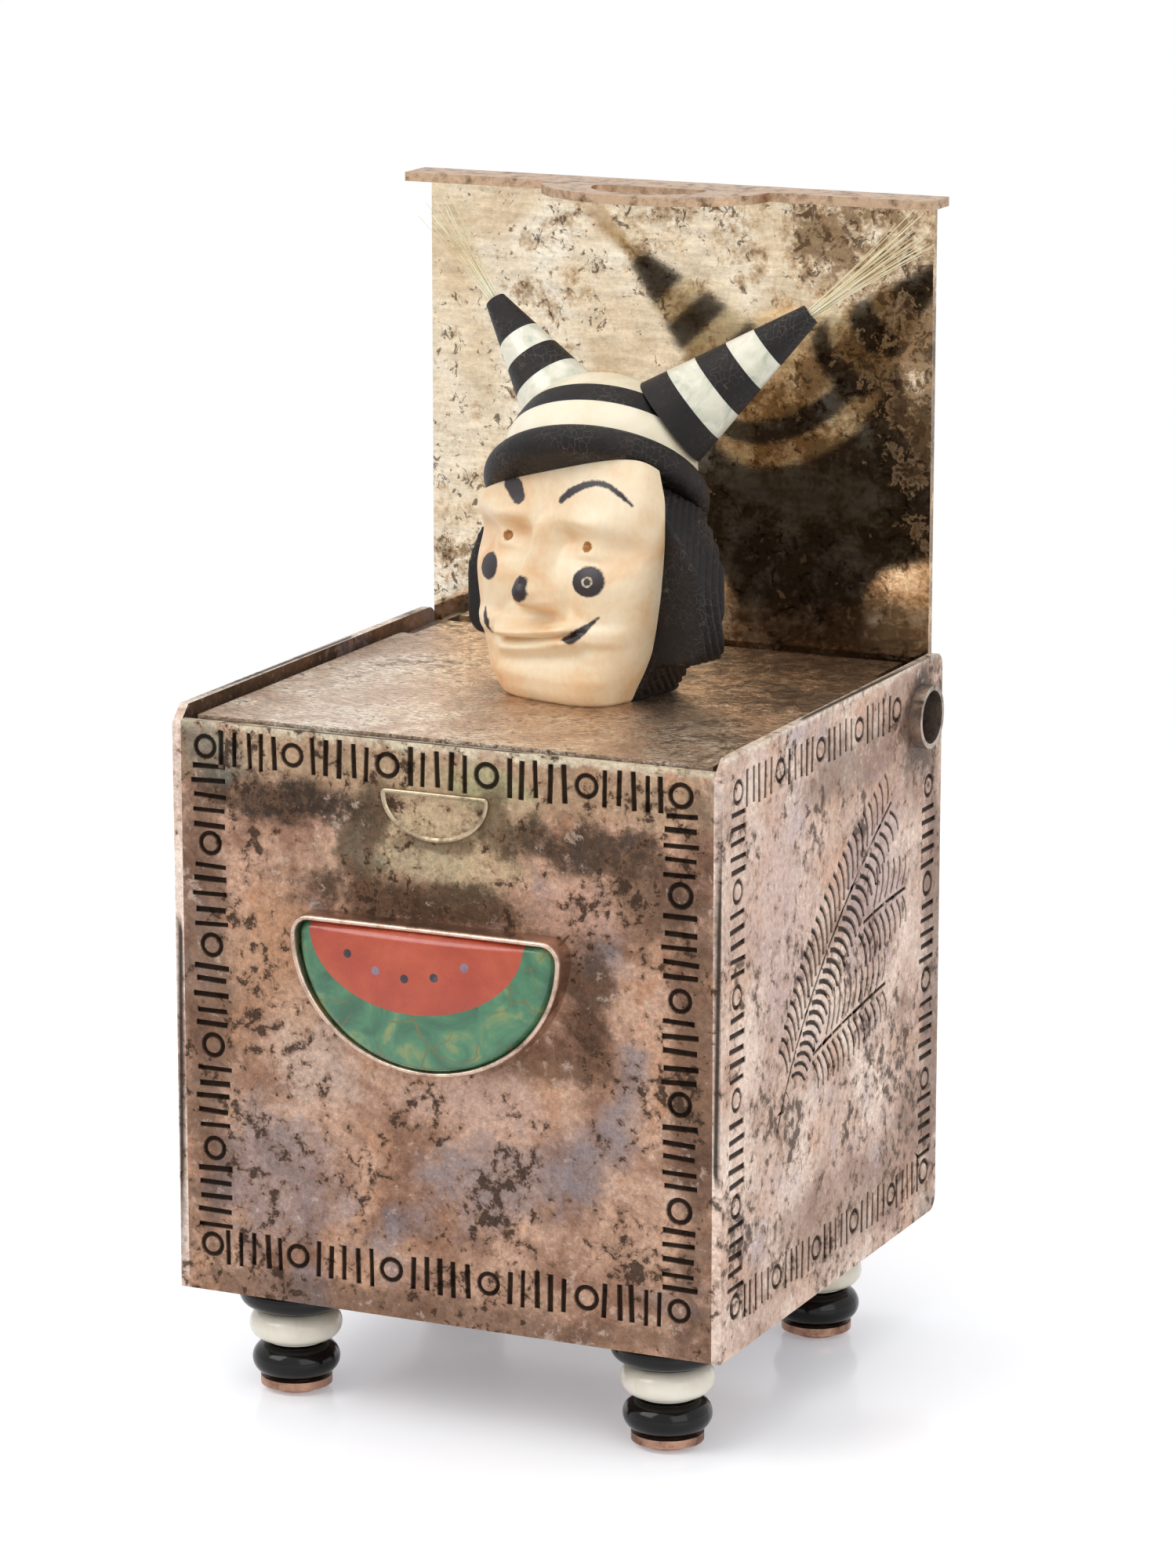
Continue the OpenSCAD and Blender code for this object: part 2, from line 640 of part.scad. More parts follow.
// Flange and hasp are one sheet; the slot slips over the catch when the lid is shut
module lid_flange() color("#c9b2a4")
    translate([0, box_d / 2, lid_top_z]) linear_extrude(sheet) difference() {
        polygon(flange_outline);
        translate([catch_x, -catch_drop + slot_gap])
            polygon(half_moon(catch_w + 2 * slot_gap, catch_h + 2 * slot_gap, 0.5 + slot_gap));
    }

// An ear turns on its hinge tube and is soldered to the inside of the lid
module lid_ear(side) color("#c9b2a4")
    translate([side * (ear_x - sheet / 2), hinge_y, hinge_z]) difference() {
        side_sheet(sheet) union() {
            circle(ear_r);
            translate([0, -ear_r]) square([lid_inner_y - hinge_y, 2 * ear_r]);
        }
        rotate([0, 90, 0]) cylinder(r = tube_r + ear_fit, h = 4 * sheet, center = true);
    }

// ---- what is drawn ----

place() floor_plate();
place() front_wall();
place() back_wall();
place() side_wall(-1);  // left_wall
place() side_wall(1);  // right_wall
place() hinge_tube(-1);  // hinge_tube_left
place() hinge_tube(1);  // hinge_tube_right
place() catch();
place() bezel();
place() melon_rind();
place() melon_flesh();
place() melon_seeds();
place() upper_bead(0);  // upper_bead_1
place() upper_bead(1);  // upper_bead_2
place() upper_bead(2);  // upper_bead_3
place() upper_bead(3);  // upper_bead_4
place() white_bead(0);  // white_bead_1
place() white_bead(1);  // white_bead_2
place() white_bead(2);  // white_bead_3
place() white_bead(3);  // white_bead_4
place() lower_bead(0);  // lower_bead_1
place() lower_bead(1);  // lower_bead_2
place() lower_bead(2);  // lower_bead_3
place() lower_bead(3);  // lower_bead_4
place() foot_washers();
place() foot_rivets();
place() spring_seat();
place() coil_spring();
place() platform();
place() spring_collar();
place() head_pin();
place() face();
place() hair();
place() hat_brim();
place() hat_white_band();
place() hat_black_band();
place() hat_cap();
place() horn_root(0);  // right_horn_root
place() horn_lower_band(0);  // right_horn_lower_band
place() horn_middle(0);  // right_horn_middle
place() horn_upper_band(0);  // right_horn_upper_band
place() horn_tip(0);  // right_horn_tip
place() horn_root(1);  // left_horn_root
place() horn_lower_band(1);  // left_horn_lower_band
place() horn_middle(1);  // left_horn_middle
place() horn_upper_band(1);  // left_horn_upper_band
place() horn_tip(1);  // left_horn_tip
place() tuft(0, tuft_len);  // right_tuft
place() tuft(1, 0.85 * tuft_len);  // left_tuft
place() lid_plate();
place() lid_flange();
place() lid_ear(-1);  // lid_ear_left
place() lid_ear(1);  // lid_ear_right
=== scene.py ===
import bpy
import bmesh
import math
import random
import numpy as np
from mathutils import Euler, Matrix, Vector


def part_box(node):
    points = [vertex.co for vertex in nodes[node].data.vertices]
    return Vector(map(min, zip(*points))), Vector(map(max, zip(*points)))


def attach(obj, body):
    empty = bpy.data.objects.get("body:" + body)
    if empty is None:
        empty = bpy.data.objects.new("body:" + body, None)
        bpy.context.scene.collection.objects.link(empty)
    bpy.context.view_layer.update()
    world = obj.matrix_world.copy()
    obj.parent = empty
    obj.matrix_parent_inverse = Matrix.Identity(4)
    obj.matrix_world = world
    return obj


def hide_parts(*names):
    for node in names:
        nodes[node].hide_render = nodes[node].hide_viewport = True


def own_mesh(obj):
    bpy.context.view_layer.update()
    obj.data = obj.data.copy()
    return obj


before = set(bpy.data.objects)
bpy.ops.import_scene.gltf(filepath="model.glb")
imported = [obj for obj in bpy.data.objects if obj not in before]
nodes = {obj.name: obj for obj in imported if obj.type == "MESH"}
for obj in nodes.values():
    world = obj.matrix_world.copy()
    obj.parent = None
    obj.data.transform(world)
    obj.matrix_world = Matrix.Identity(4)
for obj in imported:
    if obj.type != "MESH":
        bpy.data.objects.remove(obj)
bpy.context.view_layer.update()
scene = bpy.context.scene
mm = 0.001

# the box's own frame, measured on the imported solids: middle of the box, its front face and its underside
rightLow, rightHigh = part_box("right_wall")
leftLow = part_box("left_wall")[0]
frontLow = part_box("front_wall")[0]
floorLow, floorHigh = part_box("floor_plate")
platformLow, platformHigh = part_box("platform")
boxMid = Vector(((rightHigh.x + leftLow.x) / 2, (rightLow.y + rightHigh.y) / 2, floorLow.z))


# adds a node: its settings, its inputs as links or values, and the stops of its ramp
def put(tree, kind, inputs=None, out=0, ramp=None, **settings):
    node = tree.nodes.new(kind)
    for key, value in settings.items():
        setattr(node, key, value)
    if ramp:
        stops = node.color_ramp.elements
        while len(stops) < len(ramp):
            stops.new(0.5)
        for stop, (place, shade) in zip(stops, ramp):
            stop.position = place
            stop.color = hexColour(shade)
    for key, value in (inputs or {}).items():
        if isinstance(value, bpy.types.NodeSocket):
            tree.links.new(value, node.inputs[key])
        else:
            node.inputs[key].default_value = value
    return node if out is None else node.outputs[out]


def hexColour(code):
    parts = [int(code[i:i + 2], 16) / 255 for i in (1, 3, 5)]
    return tuple(c / 12.92 if c <= 0.04045 else ((c + 0.055) / 1.055) ** 2.4 for c in parts) + (1.0,)


# lays a shade over a colour where a value passes from start to end
def laidOver(tree, colour, value, start, end, strength, shade, **settings):
    mask = put(tree, "ShaderNodeMapRange", {0: value, 1: start, 2: end, 3: 0, 4: strength}, **settings)
    return put(tree, "ShaderNodeMix", {0: mask, 6: colour, 7: hexColour(shade)}, out=2, data_type="RGBA")


# makes a colour darker and lighter with a value: factor low where it is at start, high at end
def toned(tree, colour, value, start, end, low, high):
    tone = put(tree, "ShaderNodeMapRange", {0: value, 1: start, 2: end, 3: low, 4: high})
    return put(tree, "ShaderNodeVectorMath", {0: colour, 3: tone}, operation="SCALE")


def newMaterial(name):
    mat = bpy.data.materials.new(name)
    mat.use_nodes = True
    tree = mat.node_tree
    tree.nodes.clear()
    return mat, tree, put(tree, "ShaderNodeTexCoord", out="Object")


def closeMaterial(tree, colour, roughness, bump=None, **sockets):
    # joins a finish to its shader: numbers that are the same all over go on the sockets themselves
    inputs = {"Base Color": colour, "Roughness": roughness}
    if bump is not None:
        inputs["Normal"] = bump
    for key, value in sockets.items():
        inputs[key.replace("_", " ")] = value
    surface = put(tree, "ShaderNodeBsdfPrincipled", inputs)
    put(tree, "ShaderNodeOutputMaterial", {"Surface": surface}, out=None)


# silver

# Sterling silver sheet, stamped, blackened with sulphur and rubbed back: bare metal stays warm on the
# high places, the black stays in the stamps and in the pits of the skin that firing leaves.
def oxidisedSilver(name, look):
    mat, tree, where = newMaterial(name)
    # ragged patches of colour, look["cloud"] mm across, with detail down to 0.1 mm
    cloud = put(tree, "ShaderNodeTexNoise", {
        "Vector": where, "Scale": 1000 / look["cloud"], "Detail": 11, "Roughness": 0.66, "Distortion": 0.5})
    colour = put(tree, "ShaderNodeValToRGB", {0: cloud}, ramp=look["tones"])
    for w, shade, start in ((4.0, look["bloom"], 0.56), (9.0, look["warm"], 0.53)):
        drift = put(tree, "ShaderNodeTexNoise", {
            "Vector": where, "Scale": 90, "Detail": 8, "Roughness": 0.6, "W": w}, noise_dimensions="4D")
        colour = laidOver(tree, colour, drift, start, start + 0.1, 0.75, shade)
    # ragged edge that every patch shares, stains and painted highlights alike
    rag = put(tree, "ShaderNodeTexNoise", {"Vector": where, "Scale": 260, "Detail": 10, "Roughness": 0.75})
    for centre, reach, shade, strength in look["stainsAndHighlights"]:
        middle = boxMid + Vector(centre) * mm
        off = put(tree, "ShaderNodeVectorMath", {0: where, 1: middle}, operation="SUBTRACT")
        shrink = [1000 / r if r else 0 for r in reach]
        off = put(tree, "ShaderNodeVectorMath", {0: off, 1: shrink}, operation="MULTIPLY")
        far = put(tree, "ShaderNodeVectorMath", {0: off}, out="Value", operation="LENGTH")
        edge = put(tree, "ShaderNodeMath", {0: rag, 1: 3.2, 2: far}, operation="MULTIPLY_ADD")
        colour = laidOver(tree, colour, edge, 2.9, 2.15, strength, shade, interpolation_type="SMOOTHSTEP")
    # pits of the skin, 0.2 to 1 mm, in loose groups 8 mm across
    pits = put(tree, "ShaderNodeTexNoise", {
        "Vector": where, "Scale": 1000 / look["pit"], "Detail": 9, "Roughness": 0.7, "Distortion": 0.25})
    group = put(tree, "ShaderNodeTexNoise", {"Vector": where, "Scale": 120, "Detail": 3})
    pitted = put(tree, "ShaderNodeMath", {0: group, 1: 0.5, 2: pits}, operation="MULTIPLY_ADD")
    pitFrom = look["pitted"]
    pitMask = put(tree, "ShaderNodeMapRange", {0: pitted, 1: pitFrom, 2: pitFrom + 0.045, 3: 0, 4: 1})
    colour = laidOver(tree, colour, pitted, pitFrom - 0.09, pitFrom, 0.5, "#8d6b53")   # a brown rim
    colour = laidOver(tree, colour, pitMask, 0, 1, look["pitDark"], "#3f2f26")
    # rubbed crests beside the pits shine pale
    colour = laidOver(tree, colour, pitted, pitFrom - 0.2, pitFrom - 0.26, 0.45, look["crest"])
    # grain of light and dark, 0.6 mm down to 0.1 mm
    grain = put(tree, "ShaderNodeTexNoise", {"Vector": where, "Scale": 1700, "Detail": 6, "Roughness": 0.85})
    colour = toned(tree, colour, grain, 0.3, 0.7, 0.6, 1.36)
    # black in the stamps; "groove" is 0 on the sheet's face and 1 at a stamp's bottom
    groove = put(tree, "ShaderNodeAttribute", out="Fac", attribute_name="groove")
    colour = laidOver(tree, colour, groove, 0.0, 0.75, 0.93, "#241912")
    shine = look["rough"]
    rough = put(tree, "ShaderNodeMapRange", {0: rag, 1: 0.3, 2: 0.7, 3: shine, 4: shine + 0.2})
    high = put(tree, "ShaderNodeMath", {0: pitMask, 1: -0.7, 2: grain}, operation="MULTIPLY_ADD")
    high = put(tree, "ShaderNodeMath", {0: cloud, 1: 1.5, 2: high}, operation="MULTIPLY_ADD")
    bump = put(tree, "ShaderNodeBump", {"Height": high, "Strength": look["bump"], "Distance": 0.0005})
    closeMaterial(tree, colour, rough, bump, Metallic=0.85)
    return mat


wallTones = [(0.3, "#6d4f3f"), (0.41, "#98735f"), (0.5, "#b8937c"), (0.58, "#cfaa92"), (0.7, "#ba855f")]
# stains and painted highlights are [centre, reach, colour, strength], mm from the middle of the box's
# underside, and endless where the reach is 0; the pale lines along the walls' edges are partly painted
# highlight
frontWallLook = {
    "cloud": 9, "tones": wallTones, "bloom": "#938a8d", "warm": "#c39473", "crest": "#dcc5b4", "pit": 1.3,
    "pitted": 0.835, "pitDark": 0.88, "rough": 0.38, "bump": 0.75,
    "stainsAndHighlights": [
        [(-0.5, 0, 48), (10, 0, 7), "#d0bb98", 0.8], [(0, 0, 53.5), (60, 0, 3.2), "#bba182", 0.65],
        # the first here: a pale line along the top edge, rubbed bright and also a painted highlight
        [(0, 0, 57), (60, 0, 1.4), "#e2d6bb", 0.95], [(-17, 0, 49.6), (10, 0, 2.2), "#30261f", 0.92],
        [(-8.8, 0, 46.5), (2.6, 0, 4.5), "#45382c", 0.8], [(14, 0, 48), (9, 0, 2.6), "#3a2d23", 0.9],
        [(21, 0, 44), (5, 0, 5), "#5c4638", 0.7], [(-2, 0, 41), (15, 0, 2.4), "#4a3728", 0.9],
        [(15, 0, 34), (2.6, 0, 7), "#443225", 0.8], [(9, 0, 27), (8, 0, 2.0), "#5f4636", 0.6],
        [(-24, 0, 53.5), (3, 0, 3), "#7d938c", 0.5], [(4.5, 0, 53), (4, 0, 2), "#a3a97f", 0.55],
        [(-14, 0, 25), (5, 0, 7), "#dcc4b4", 0.6], [(-6.8, 0, 49.5), (1.6, 0, 3.6), "#5d4c3a", 0.7],
        [(5.4, 0, 49.5), (1.6, 0, 3.6), "#64523f", 0.7], [(-0.7, 0, 46.9), (4.5, 0, 0.8), "#6b5842", 0.75],
        [(-3, 0, 45), (5, 0, 1.6), "#a5a58a", 0.3], [(-17, 0, 33), (7, 0, 6), "#c69b7b", 0.6],
        [(3, 0, 22), (9, 0, 3), "#d5b4a4", 0.65], [(14, 0, 42), (6, 0, 2.6), "#cfa793", 0.7],
        [(-18, 0, 12), (8, 0, 7), "#93898c", 0.6], [(6, 0, 15), (7, 0, 4), "#918689", 0.55],
        # these three: darker down both ends of the wall and along its bottom
        [(-25.5, 0, 30), (3, 0, 30), "#5d483b", 0.6], [(26, 0, 25), (2.6, 0, 30), "#5a4437", 0.65],
        [(0, 0, 1), (40, 0, 2), "#6a5142", 0.6],
    ],
}
sideWallLook = {
    "cloud": 14,
    "tones": [(0.3, "#8f7465"), (0.42, "#c4a796"), (0.52, "#dfc6b6"), (0.6, "#ecd8c9"), (0.72, "#cea88f")],
    "bloom": "#c4b4b6", "warm": "#d1ab93", "crest": "#e3d0c5", "pit": 1.3, "pitted": 0.84, "pitDark": 0.8,
    "rough": 0.38, "bump": 0.55,
    "stainsAndHighlights": [
        # the first two: pale lines along the top edge and down the front edge; the front one is a painted
        # highlight, the top one rubbed bright and a painted highlight too
        [(0, 0, 57.8), (0, 80, 0.6), "#e9ddce", 0.7], [(0, -27.6, 0), (0, 0.5, 0), "#e6d3c6", 0.5],
        [(0, 21.8, 52), (0, 5.2, 5.6), "#40332c", 0.9], [(0, 4, 51), (0, 14, 3), "#7f665a", 0.6],
        # the second here: darker towards the bottom
        [(0, -14, 40), (0, 7, 12), "#cdb3ac", 0.6], [(0, 2, 7), (0, 20, 5), "#967766", 0.6],
        # the second here: darker down the back edge
        [(0, 10, 38), (0, 8, 9), "#a89294", 0.5], [(0, 25.5, 25), (0, 2.5, 30), "#6a5347", 0.6],
    ],
}
plainWallLook = {
    "cloud": 16, "tones": wallTones, "bloom": "#978a92", "warm": "#a98165", "crest": "#c9b3a6", "pit": 1.4,
    "pitted": 0.88, "pitDark": 0.6, "rough": 0.45, "bump": 0.5,
    # darker towards the bottom
    "stainsAndHighlights": [[(0, 0, 0), (60, 0, 4), "#5a483c", 0.5]],
}
frontSilver = oxidisedSilver("oxidised stamped silver, front", frontWallLook)
sideSilver = oxidisedSilver("oxidised stamped silver, sides", sideWallLook)
plainSilver = oxidisedSilver("oxidised silver sheet", plainWallLook)
# a darker copy of the plain sheet for the walls' inner sides: painted shade inside the box
shadedInnerTones = [(0.3, "#33271f"), (0.45, "#574538"), (0.6, "#7a6251"), (0.75, "#5d4a3d")]
shadedInnerSilver = oxidisedSilver("oxidised silver, inside of the box, painted shade", dict(plainWallLook, tones=shadedInnerTones))


# Silver sheet burnished to a mirror and left to tarnish: pale gold where it still shines, brown islands
# where the tarnish took, and hair scratches of cleaning. The inside of the lid and the platform have it.
def burnishedSilver(name, look):
    mat, tree, where = newMaterial(name)
    cloud = put(tree, "ShaderNodeTexNoise", {
        "Vector": where, "Scale": 1000 / look["cloud"], "Detail": 6, "Roughness": 0.65, "Distortion": 0.6})
    colour = put(tree, "ShaderNodeValToRGB", {0: cloud}, ramp=look["tones"])
    # tarnish and painted shade: ragged speckle that runs together into a brown field towards darkTowards, the
    # side away from the key lamp
    speckle = put(tree, "ShaderNodeTexNoise",
                  {"Vector": where, "Scale": 1000 / look["speckle"], "Detail": 12, "Roughness": 0.78})
    lean = put(tree, "ShaderNodeVectorMath", {0: where, 1: look["darkTowards"]}, out="Value",
               operation="DOT_PRODUCT")
    tarnishAndShade = put(tree, "ShaderNodeMath", {0: cloud, 1: 0.6, 2: speckle}, operation="MULTIPLY_ADD")
    tarnishAndShade = put(tree, "ShaderNodeMath", {0: tarnishAndShade, 1: lean}, operation="ADD")
    for step, shade, strength in look["tarnishAndShade"]:
        start = look["tarnishAndShadeFrom"] + step
        colour = laidOver(tree, colour, tarnishAndShade, start, start + 0.06, strength, shade)
    mask = put(tree, "ShaderNodeMapRange", {0: tarnishAndShade, 1: start, 2: start + 0.06, 3: 0, 4: strength})
    # flecks: small pits where dirt stays, thickest where the tarnish is
    fleck = put(tree, "ShaderNodeTexNoise", {
        "Vector": where, "Scale": 1000 / look["fleck"], "Detail": 8, "Roughness": 0.72, "Distortion": 0.8})
    fleck = put(tree, "ShaderNodeMath", {0: cloud, 1: 0.35, 2: fleck}, operation="MULTIPLY_ADD")
    start = look["fleckFrom"]
    colour = laidOver(tree, colour, fleck, start, start + 0.035, look["fleckDark"], "#4d3826")
    # scratches: noise drawn out along one direction, 0.1 mm wide, fading in and out
    drawn = put(tree, "ShaderNodeMapping",
                {"Vector": where, "Rotation": look["scratchTurn"], "Scale": look["scratchScale"]})
    scratch = put(tree, "ShaderNodeTexNoise", {"Vector": drawn, "Scale": 1, "Detail": 4, "Roughness": 0.7})
    grain = put(tree, "ShaderNodeTexNoise", {"Vector": where, "Scale": 1900, "Detail": 5, "Roughness": 0.85})
    worn = put(tree, "ShaderNodeMath", {0: scratch, 1: grain}, operation="ADD")
    colour = toned(tree, colour, worn, 0.75, 1.25, 1 - look["contrast"], 1 + look["contrast"])
    rough = put(tree, "ShaderNodeMapRange", {0: mask, 1: 0, 2: 1, 3: look["rough"], 4: look["rough"] + 0.25})
    high = put(tree, "ShaderNodeMath", {0: mask, 1: -look["etch"]}, operation="MULTIPLY")
    high = put(tree, "ShaderNodeMath", {0: worn, 1: look["scratchDepth"], 2: high}, operation="MULTIPLY_ADD")
    bump = put(tree, "ShaderNodeBump", {"Height": high, "Strength": look["bump"], "Distance": 0.0005})
    closeMaterial(tree, colour, rough, bump, Metallic=look["metal"])
    return mat


lidInsideLook = {
    # the brown gathers to the right and down, away from the key lamp: tarnish, with painted shade on that
    # side
    "cloud": 15, "speckle": 3.6, "darkTowards": (3.2, 0, -2.4), "tarnishAndShadeFrom": 0.54, "metal": 0.95,
    "fleck": 1.3, "fleckFrom": 0.745, "fleckDark": 0.8,
    "tones": [(0.3, "#ceb491"), (0.46, "#e6d3b6"), (0.6, "#f3e8d4"), (0.75, "#d6ae84")],
    "tarnishAndShade": [(0.0, "#b08a5c", 0.6), (0.07, "#7d6040", 0.75), (0.22, "#54402c", 0.8)],
    "scratchTurn": (0, 0.12, 0), "scratchScale": (260, 260, 1500), "contrast": 0.26,
    "rough": 0.05, "etch": 0.1, "scratchDepth": 0.02, "bump": 0.25,
}
platformLook = {
    # the brown gathers to the right and back, away from the key lamp, leaving the front edge pale: tarnish,
    # with painted shade behind and a painted highlight along the front edge
    "cloud": 8, "speckle": 1.6, "darkTowards": (3.5, 4.5, 0), "tarnishAndShadeFrom": 0.8, "metal": 0.8,
    "fleck": 0.8, "fleckFrom": 0.755, "fleckDark": 0.65,
    "tones": [(0.3, "#b0937c"), (0.46, "#d2b69d"), (0.6, "#f2dfca"), (0.75, "#caa386")],
    "tarnishAndShade": [(0.0, "#8a6c50", 0.6), (0.09, "#5c4735", 0.75), (0.2, "#3a2d25", 0.8)],
    "scratchTurn": (0, 0, 0.35), "scratchScale": (900, 4500, 900), "contrast": 0.62,
    "rough": 0.22, "etch": 0.2, "scratchDepth": 0.35, "bump": 0.5,
}
lidInside = burnishedSilver("burnished silver, tarnished", lidInsideLook)
platformSilver = burnishedSilver("brushed silver, tarnished", platformLook)


# Silver strip, filed and buffed: bright and slightly coppery, with a little dark left in patches
def buffedMetal(name, light, dark, rough, patch=3.1):   # patches of tarnish, mm across
    mat, tree, where = newMaterial(name)
    cloud = put(tree, "ShaderNodeTexNoise", {
        "Vector": where, "Scale": 1000 / patch, "Detail": 8, "Roughness": 0.72})
    colour = put(tree, "ShaderNodeValToRGB", {0: cloud}, ramp=[(0.34, dark), (0.52, light), (0.7, light)])
    grain = put(tree, "ShaderNodeTexNoise", {"Vector": where, "Scale": 1900, "Detail": 4, "Roughness": 0.8})
    colour = toned(tree, colour, grain, 0.3, 0.7, 0.84, 1.14)
    file = put(tree, "ShaderNodeTexNoise", {"Vector": where, "Scale": 2500, "Detail": 3})
    roughness = put(tree, "ShaderNodeMapRange", {0: cloud, 1: 0.3, 2: 0.7, 3: rough + 0.15, 4: rough})
    bump = put(tree, "ShaderNodeBump", {"Height": file, "Strength": 0.2, "Distance": 0.0002})
    closeMaterial(tree, colour, roughness, bump, Metallic=1.0)
    return mat


bezelSilver = buffedMetal("buffed silver strip", "#cdb2a1", "#7b6050", 0.25)
catchSilver = buffedMetal("buffed silver, catch", "#b3a288", "#6a5b48", 0.28)
flangeSilver = buffedMetal("buffed silver, copper tinted by heat", "#c4a68a", "#6d5542", 0.34, 1.7)
tubeSilver = buffedMetal("drawn silver tube", "#b6a79a", "#4f4239", 0.3)
copperMetal = buffedMetal("punched copper washer", "#b58d78", "#64473a", 0.34)
springWire = buffedMetal("drawn spring wire", "#a9abad", "#6e6f72", 0.3)


# stones, bone and bristle

# A polished stone or bone: two or three close tones, slow veins and a soft gloss
def polishedStone(name, look):
    mat, tree, where = newMaterial(name)
    cloud = put(tree, "ShaderNodeTexNoise", {"Vector": where, "Scale": 1000 / look["cloud"], "Detail": 6,
                                             "Roughness": 0.6, "Distortion": look.get("flow", 0.4)})
    colour = put(tree, "ShaderNodeValToRGB", {0: cloud}, ramp=look["tones"])
    if "vein" in look:
        bent = put(tree, "ShaderNodeTexNoise", {"Vector": where, "Scale": 300, "Detail": 3}, out="Color")
        bent = put(tree, "ShaderNodeVectorMath", {0: bent, 3: 0.0035}, operation="SCALE")
        bent = put(tree, "ShaderNodeVectorMath", {0: where, 1: bent}, operation="ADD")
        crack = put(tree, "ShaderNodeTexVoronoi", {"Vector": bent, "Scale": 1000 / look["veinStep"]},
                    feature="DISTANCE_TO_EDGE")
        patch = put(tree, "ShaderNodeTexNoise", {"Vector": where, "Scale": 180, "Detail": 4})
        thin = put(tree, "ShaderNodeMapRange", {0: patch, 1: 0.42, 2: 0.66, 3: 0, 4: look["veinWidth"]})
        vein = put(tree, "ShaderNodeMath", {0: crack, 1: thin}, operation="LESS_THAN")
        colour = laidOver(tree, colour, vein, 0, 1, look["veinAmount"], look["vein"])
    grain = put(tree, "ShaderNodeTexNoise", {
        "Vector": where, "Scale": look["grain"], "Detail": 5, "Roughness": 0.7})
    gloss = look["rough"]
    rough = put(tree, "ShaderNodeMapRange", {0: grain, 1: 0.3, 2: 0.7, 3: gloss, 4: gloss + 0.12})
    bump = put(tree, "ShaderNodeBump", {"Height": grain, "Strength": look["bump"], "Distance": 0.0002})
    closeMaterial(tree, colour, rough, bump, Subsurface_Weight=look.get("glow", 0.0), Subsurface_Scale=0.001,
                  Subsurface_Radius=(1.0, 0.6, 0.4), IOR=1.54, Specular_IOR_Level=look.get("shine", 0.5),
                  Coat_Weight=look.get("coat", 0.0), Coat_Roughness=0.06)
    return mat


# Coral, cut flat and polished: even orange red with slightly paler growth clouds
coral = polishedStone("polished coral inlay", {
    "cloud": 5, "tones": [(0.3, "#993219"), (0.5, "#a93e22"), (0.7, "#b74f2e")], "grain": 1500,
    "rough": 0.22, "bump": 0.05, "glow": 0.1, "coat": 0.3})
# Turquoise of the green kind: brown matrix runs through it in fine broken lines
turquoise = polishedStone("polished green turquoise", {
    "cloud": 5, "flow": 1.4,
    "tones": [(0.28, "#24503a"), (0.44, "#33694b"), (0.56, "#467c58"), (0.66, "#7d8a55"), (0.76, "#9a7f45")],
    "vein": "#6b5f2e", "veinStep": 4.2, "veinWidth": 0.035, "veinAmount": 0.9, "grain": 1200, "rough": 0.2,
    "bump": 0.08, "glow": 0.05, "coat": 0.3})
# Seeds are drilled dots filled with dark stone chips in resin
seedStone = polishedStone("dark stone chips in resin", {
    "cloud": 1.2, "tones": [(0.3, "#231a1c"), (0.55, "#33282d"), (0.75, "#5b4c5c")], "grain": 3000,
    "rough": 0.3, "bump": 0.1})
paleSeed = polishedStone("lavender stone chips in resin", {
    "cloud": 1.2, "tones": [(0.3, "#6a5562"), (0.55, "#8a7484"), (0.75, "#a593a1")], "grain": 3000,
    "rough": 0.3, "bump": 0.1})
# Jet or black onyx beads, turned and polished like glass
blackBead = polishedStone("polished black onyx", {
    "cloud": 4, "tones": [(0.3, "#070606"), (0.6, "#100e0e"), (0.8, "#1a1715")], "grain": 900, "rough": 0.06,
    "bump": 0.02, "shine": 0.25})
# White beads are cut from shell or bone, so they are creamy, with faint growth clouds
whiteBead = polishedStone("polished white shell", {
    "cloud": 5, "tones": [(0.3, "#d6cdb8"), (0.5, "#e7e1d0"), (0.75, "#f2eee2")], "grain": 1200,
    "rough": 0.16, "bump": 0.05, "glow": 0.2, "coat": 0.3})
# The hat's white bands are bone, warm and a little worn
boneBand = polishedStone("polished bone", {
    "cloud": 6, "tones": [(0.3, "#d9c9a8"), (0.5, "#e8dcc2"), (0.75, "#f1e8d3")], "grain": 1300,
    "rough": 0.26, "bump": 0.08, "glow": 0.25})
# The horns' white bands are shell: cooler, with watery green and blue clouds
shellBand = polishedStone("polished shell band", {
    "cloud": 4, "flow": 1.8,
    "tones": [(0.28, "#b3b8a4"), (0.42, "#d2d0bd"), (0.6, "#e6e1cf"), (0.75, "#c9cabb")], "grain": 1300,
    "rough": 0.18, "bump": 0.05, "glow": 0.2, "coat": 0.2})
# Matte black stone, left from the file: dull, with pale dust in the scratches
matteBlack = polishedStone("filed black stone", {
    "cloud": 3, "tones": [(0.3, "#090605"), (0.55, "#120c0a"), (0.78, "#2a201c")], "vein": "#6d5d55",
    "veinStep": 0.8, "veinWidth": 0.035, "veinAmount": 0.4, "grain": 2600, "rough": 0.42, "bump": 0.6,
    "shine": 0.25})


